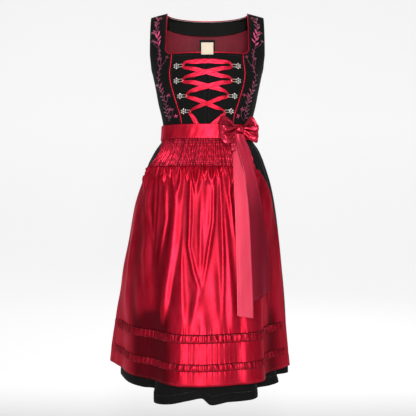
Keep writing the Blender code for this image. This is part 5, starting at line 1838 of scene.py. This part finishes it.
def leaf_pattern(material):
    """A lance-shaped leaf one unit long in satin stitch, with a groove down its middle."""
    u, v = grid(8, 4)
    width = 0.13 * np.sin(np.pi * u**0.85) ** 0.8 + 0.006
    side = mix(1, -1, v)
    height = LEAF_RISE * np.sqrt(np.maximum(0, 1 - side**2)) * np.sin(np.pi * u) ** 0.5
    height -= 0.020 * bell(side, 0.30) * np.sin(np.pi * u)
    top = np.stack([u, side * width, height - 0.012], -1)
    uv = np.stack([u * 0.012 + 0.002 * side, v * 0.003], -1)
    return closed_wall("leaf", top, top * (1, 1, 0) - (0, 0, 0.030), material, uv)


def sewn_at(x, z):
    """Points on the outside of the front's cloth, with their facings."""
    ground, out = on_front(x, z)
    return ground + out * (BODICE_WALL + 0.00025), out


def stem(points, out):
    """Stem stitch along points: each stitch turned a little across the way it follows."""
    middle, facing, along = stitches_along(points, out, "stem")
    return middle, facing, unit(along + np.cross(facing, along) * STEM_LEAN)


def vine_way(side):
    """The vine's way as fine points, from the shoulder to the waist, on one side."""
    way = smooth_way(VINE, 260)
    wander = 0.0012 * np.sin(way[:, 1] * 170 + side) + 0.0008 * np.sin(way[:, 1] * 93)
    return np.stack([side * (way[:, 0] + wander - 0.003 * (side > 0)), way[:, 1]], -1)


def embroidery():
    """Vines in stem stitch with pairs of leaves, buds and small flowers in satin stitch."""
    leaves = {0: [], 1: [], 2: []}
    stems = {0: [], 1: []}
    knots = []
    for side in (-1, 1):
        way = vine_way(side)
        points, out = sewn_at(*way.T)
        cut = int(np.searchsorted(-way[:, 1], 0.195))
        stems[1].append(stem(points[: cut + 1], out[: cut + 1]))
        stems[0].append(stem(points[cut:], out[cut:]))

        def at(z):
            """The vine's point at a height and its direction up."""
            i = int(np.clip(np.searchsorted(-way[:, 1], -z), 2, len(way) - 3))
            return way[i], unit(way[i - 2] - way[i + 2])

        def leaf(start, upward, lean, length, shade):
            turn = math.radians(lean)
            across = np.array([upward[1], -upward[0]])
            leaves[shade].append((*start, *(length * (upward * math.cos(turn) + across * math.sin(turn)))))

        unlike = iter(uneven(51 + side, 400, -1.0, 1.0))
        for top_z, low_z, pitch, length, lean, shade in rows_of(SPRAYS):
            for k in range(int((top_z - low_z) / pitch) + 1):
                for leaf_side in (-1, 1):
                    z = top_z - (k + 0.22 * leaf_side) * pitch + 0.0012 * next(unlike)
                    start, upward = at(z)
                    own_length = length * (1 + 0.16 * next(unlike))
                    own_lean = leaf_side * (lean + 9 * next(unlike))
                    own_shade = shade if next(unlike) > -0.4 else max(shade - 1, 0)
                    leaf(start, upward, own_lean, own_length, own_shade)
        for z, inward, length in rows_of(TWIGS):
            start, upward = at(z)
            share = np.linspace(0, 1, 40)[:, None]
            aside = np.array([-side * inward, 0.0])
            twig = start + length * (upward * share**1.3 + aside * 0.55 * np.sin(share * math.pi * 0.5))
            stems[0].append(stem(*sewn_at(*twig.T)))
            for lean in (-48, 0, 48):
                leaf(twig[-1], unit(twig[-1] - twig[-8]), lean + 8 * next(unlike), 0.0072, 0 if lean else 1)
        for z, inward, petal, petals, shade in rows_of(FLOWERS):
            start, upward = at(z)
            middle = start + np.array([-side * inward, 0.0])
            knots.append(middle)
            for k in range(petals):
                turned = 360 * k / petals + 20 * next(unlike)
                leaf(middle, upward, turned, petal * (1 + 0.1 * next(unlike)), shade)

    for shade, name in enumerate(("magenta", "raspberry", "pink")):
        rows = np.array(leaves[shade])
        points, out = sewn_at(rows[:, 0], rows[:, 1])
        tips, _ = sewn_at(rows[:, 0] + rows[:, 2], rows[:, 1] + rows[:, 3])
        along = unit(tips - points)
        sizes = np.linalg.norm(tips - points, axis=1) * 1.08
        facing = unit(out - along * np.sum(out * along, -1, keepdims=True))
        thread = SHADES[shade]
        places = points, facing, along, sizes
        piece = set_on_points(f"embroidery_leaves_{name}", leaf_pattern(thread), thread, *places)
        settle(piece, slot="red_satin")

    points, out = sewn_at(*np.array(knots).T)
    pattern = stitch_pattern(*KNOT_STITCH, bright_thread, 8, 7)
    places = points + out * 0.0005, out, np.cross(out, (0, 1, 0.3)), np.ones(len(points))
    settle(set_on_points("embroidery_knots", pattern, bright_thread, *places), slot="red_satin")
    for shade, name in enumerate(("magenta", "raspberry")):
        sew(f"embroidery_stems_{name}", stems[shade], "stem", SHADES[shade], "red_satin")


embroidery()


# Floor, light and camera


def backdrop():
    """A pale floor that curves up behind into a plain wall."""
    steps = np.linspace(0, math.pi / 2, 12)
    profile = [(-6.0, FLOOR_Z)]
    profile += [(3.0 + 1.5 * math.sin(s), FLOOR_Z + 1.5 * (1 - math.cos(s))) for s in steps]
    profile.append((4.5, 6.0))
    points = [(x, y, z) for y, z in profile for x in (-7.0, 7.0)]
    faces = [(2 * i, 2 * i + 1, 2 * i + 3, 2 * i + 2) for i in range(len(profile) - 1)]
    mesh = bpy.data.meshes.new("backdrop")
    mesh.from_pydata(points, [], faces)
    mesh.shade_smooth()
    made, shader, _, place = new_finish("pale_paper")
    tone = place.noise(0.6, 2.0)
    shade = tone.blend((0.30, 0.30, 0.30, 1), (0.33, 0.33, 0.33, 1))
    finish_with(shader, shade, 0.9, Emission_Strength=0.74)
    behind = place.part(1).step(0.15, 1.1).blend((0.38, 0.38, 0.38, 1), (1, 1, 1, 1))
    made.node_tree.links.new(behind.out, shader.inputs["Emission Color"])
    mesh.materials.append(made)
    add_object("backdrop", mesh)


def soft_light(name, place, size, power):
    data = bpy.data.lights.new(name, "AREA")
    data.shape = "RECTANGLE"
    data.size, data.size_y = size
    data.energy = power
    light = add_object(name, data)
    light.location = place
    light.rotation_euler = (Vector(AIM) - Vector(place)).to_track_quat("-Z", "Y").to_euler()


backdrop()
for row in rows_of(LIGHTS):
    soft_light(*row)
world = bpy.data.worlds.new("studio")
world.use_nodes = True
background = world.node_tree.nodes["Background"]
background.inputs["Color"].default_value = (1, 1, 1, 1)
background.inputs["Strength"].default_value = WORLD_STRENGTH
bpy.context.scene.world = world

camera_data = bpy.data.cameras.new("camera")
camera_data.lens = CAMERA_LENS
camera_data.shift_y = CAMERA_SHIFT_Y
camera = add_object("camera", camera_data)
camera.location = CAMERA_AT
camera.rotation_euler = (math.pi / 2, 0, 0)
bpy.context.scene.camera = camera
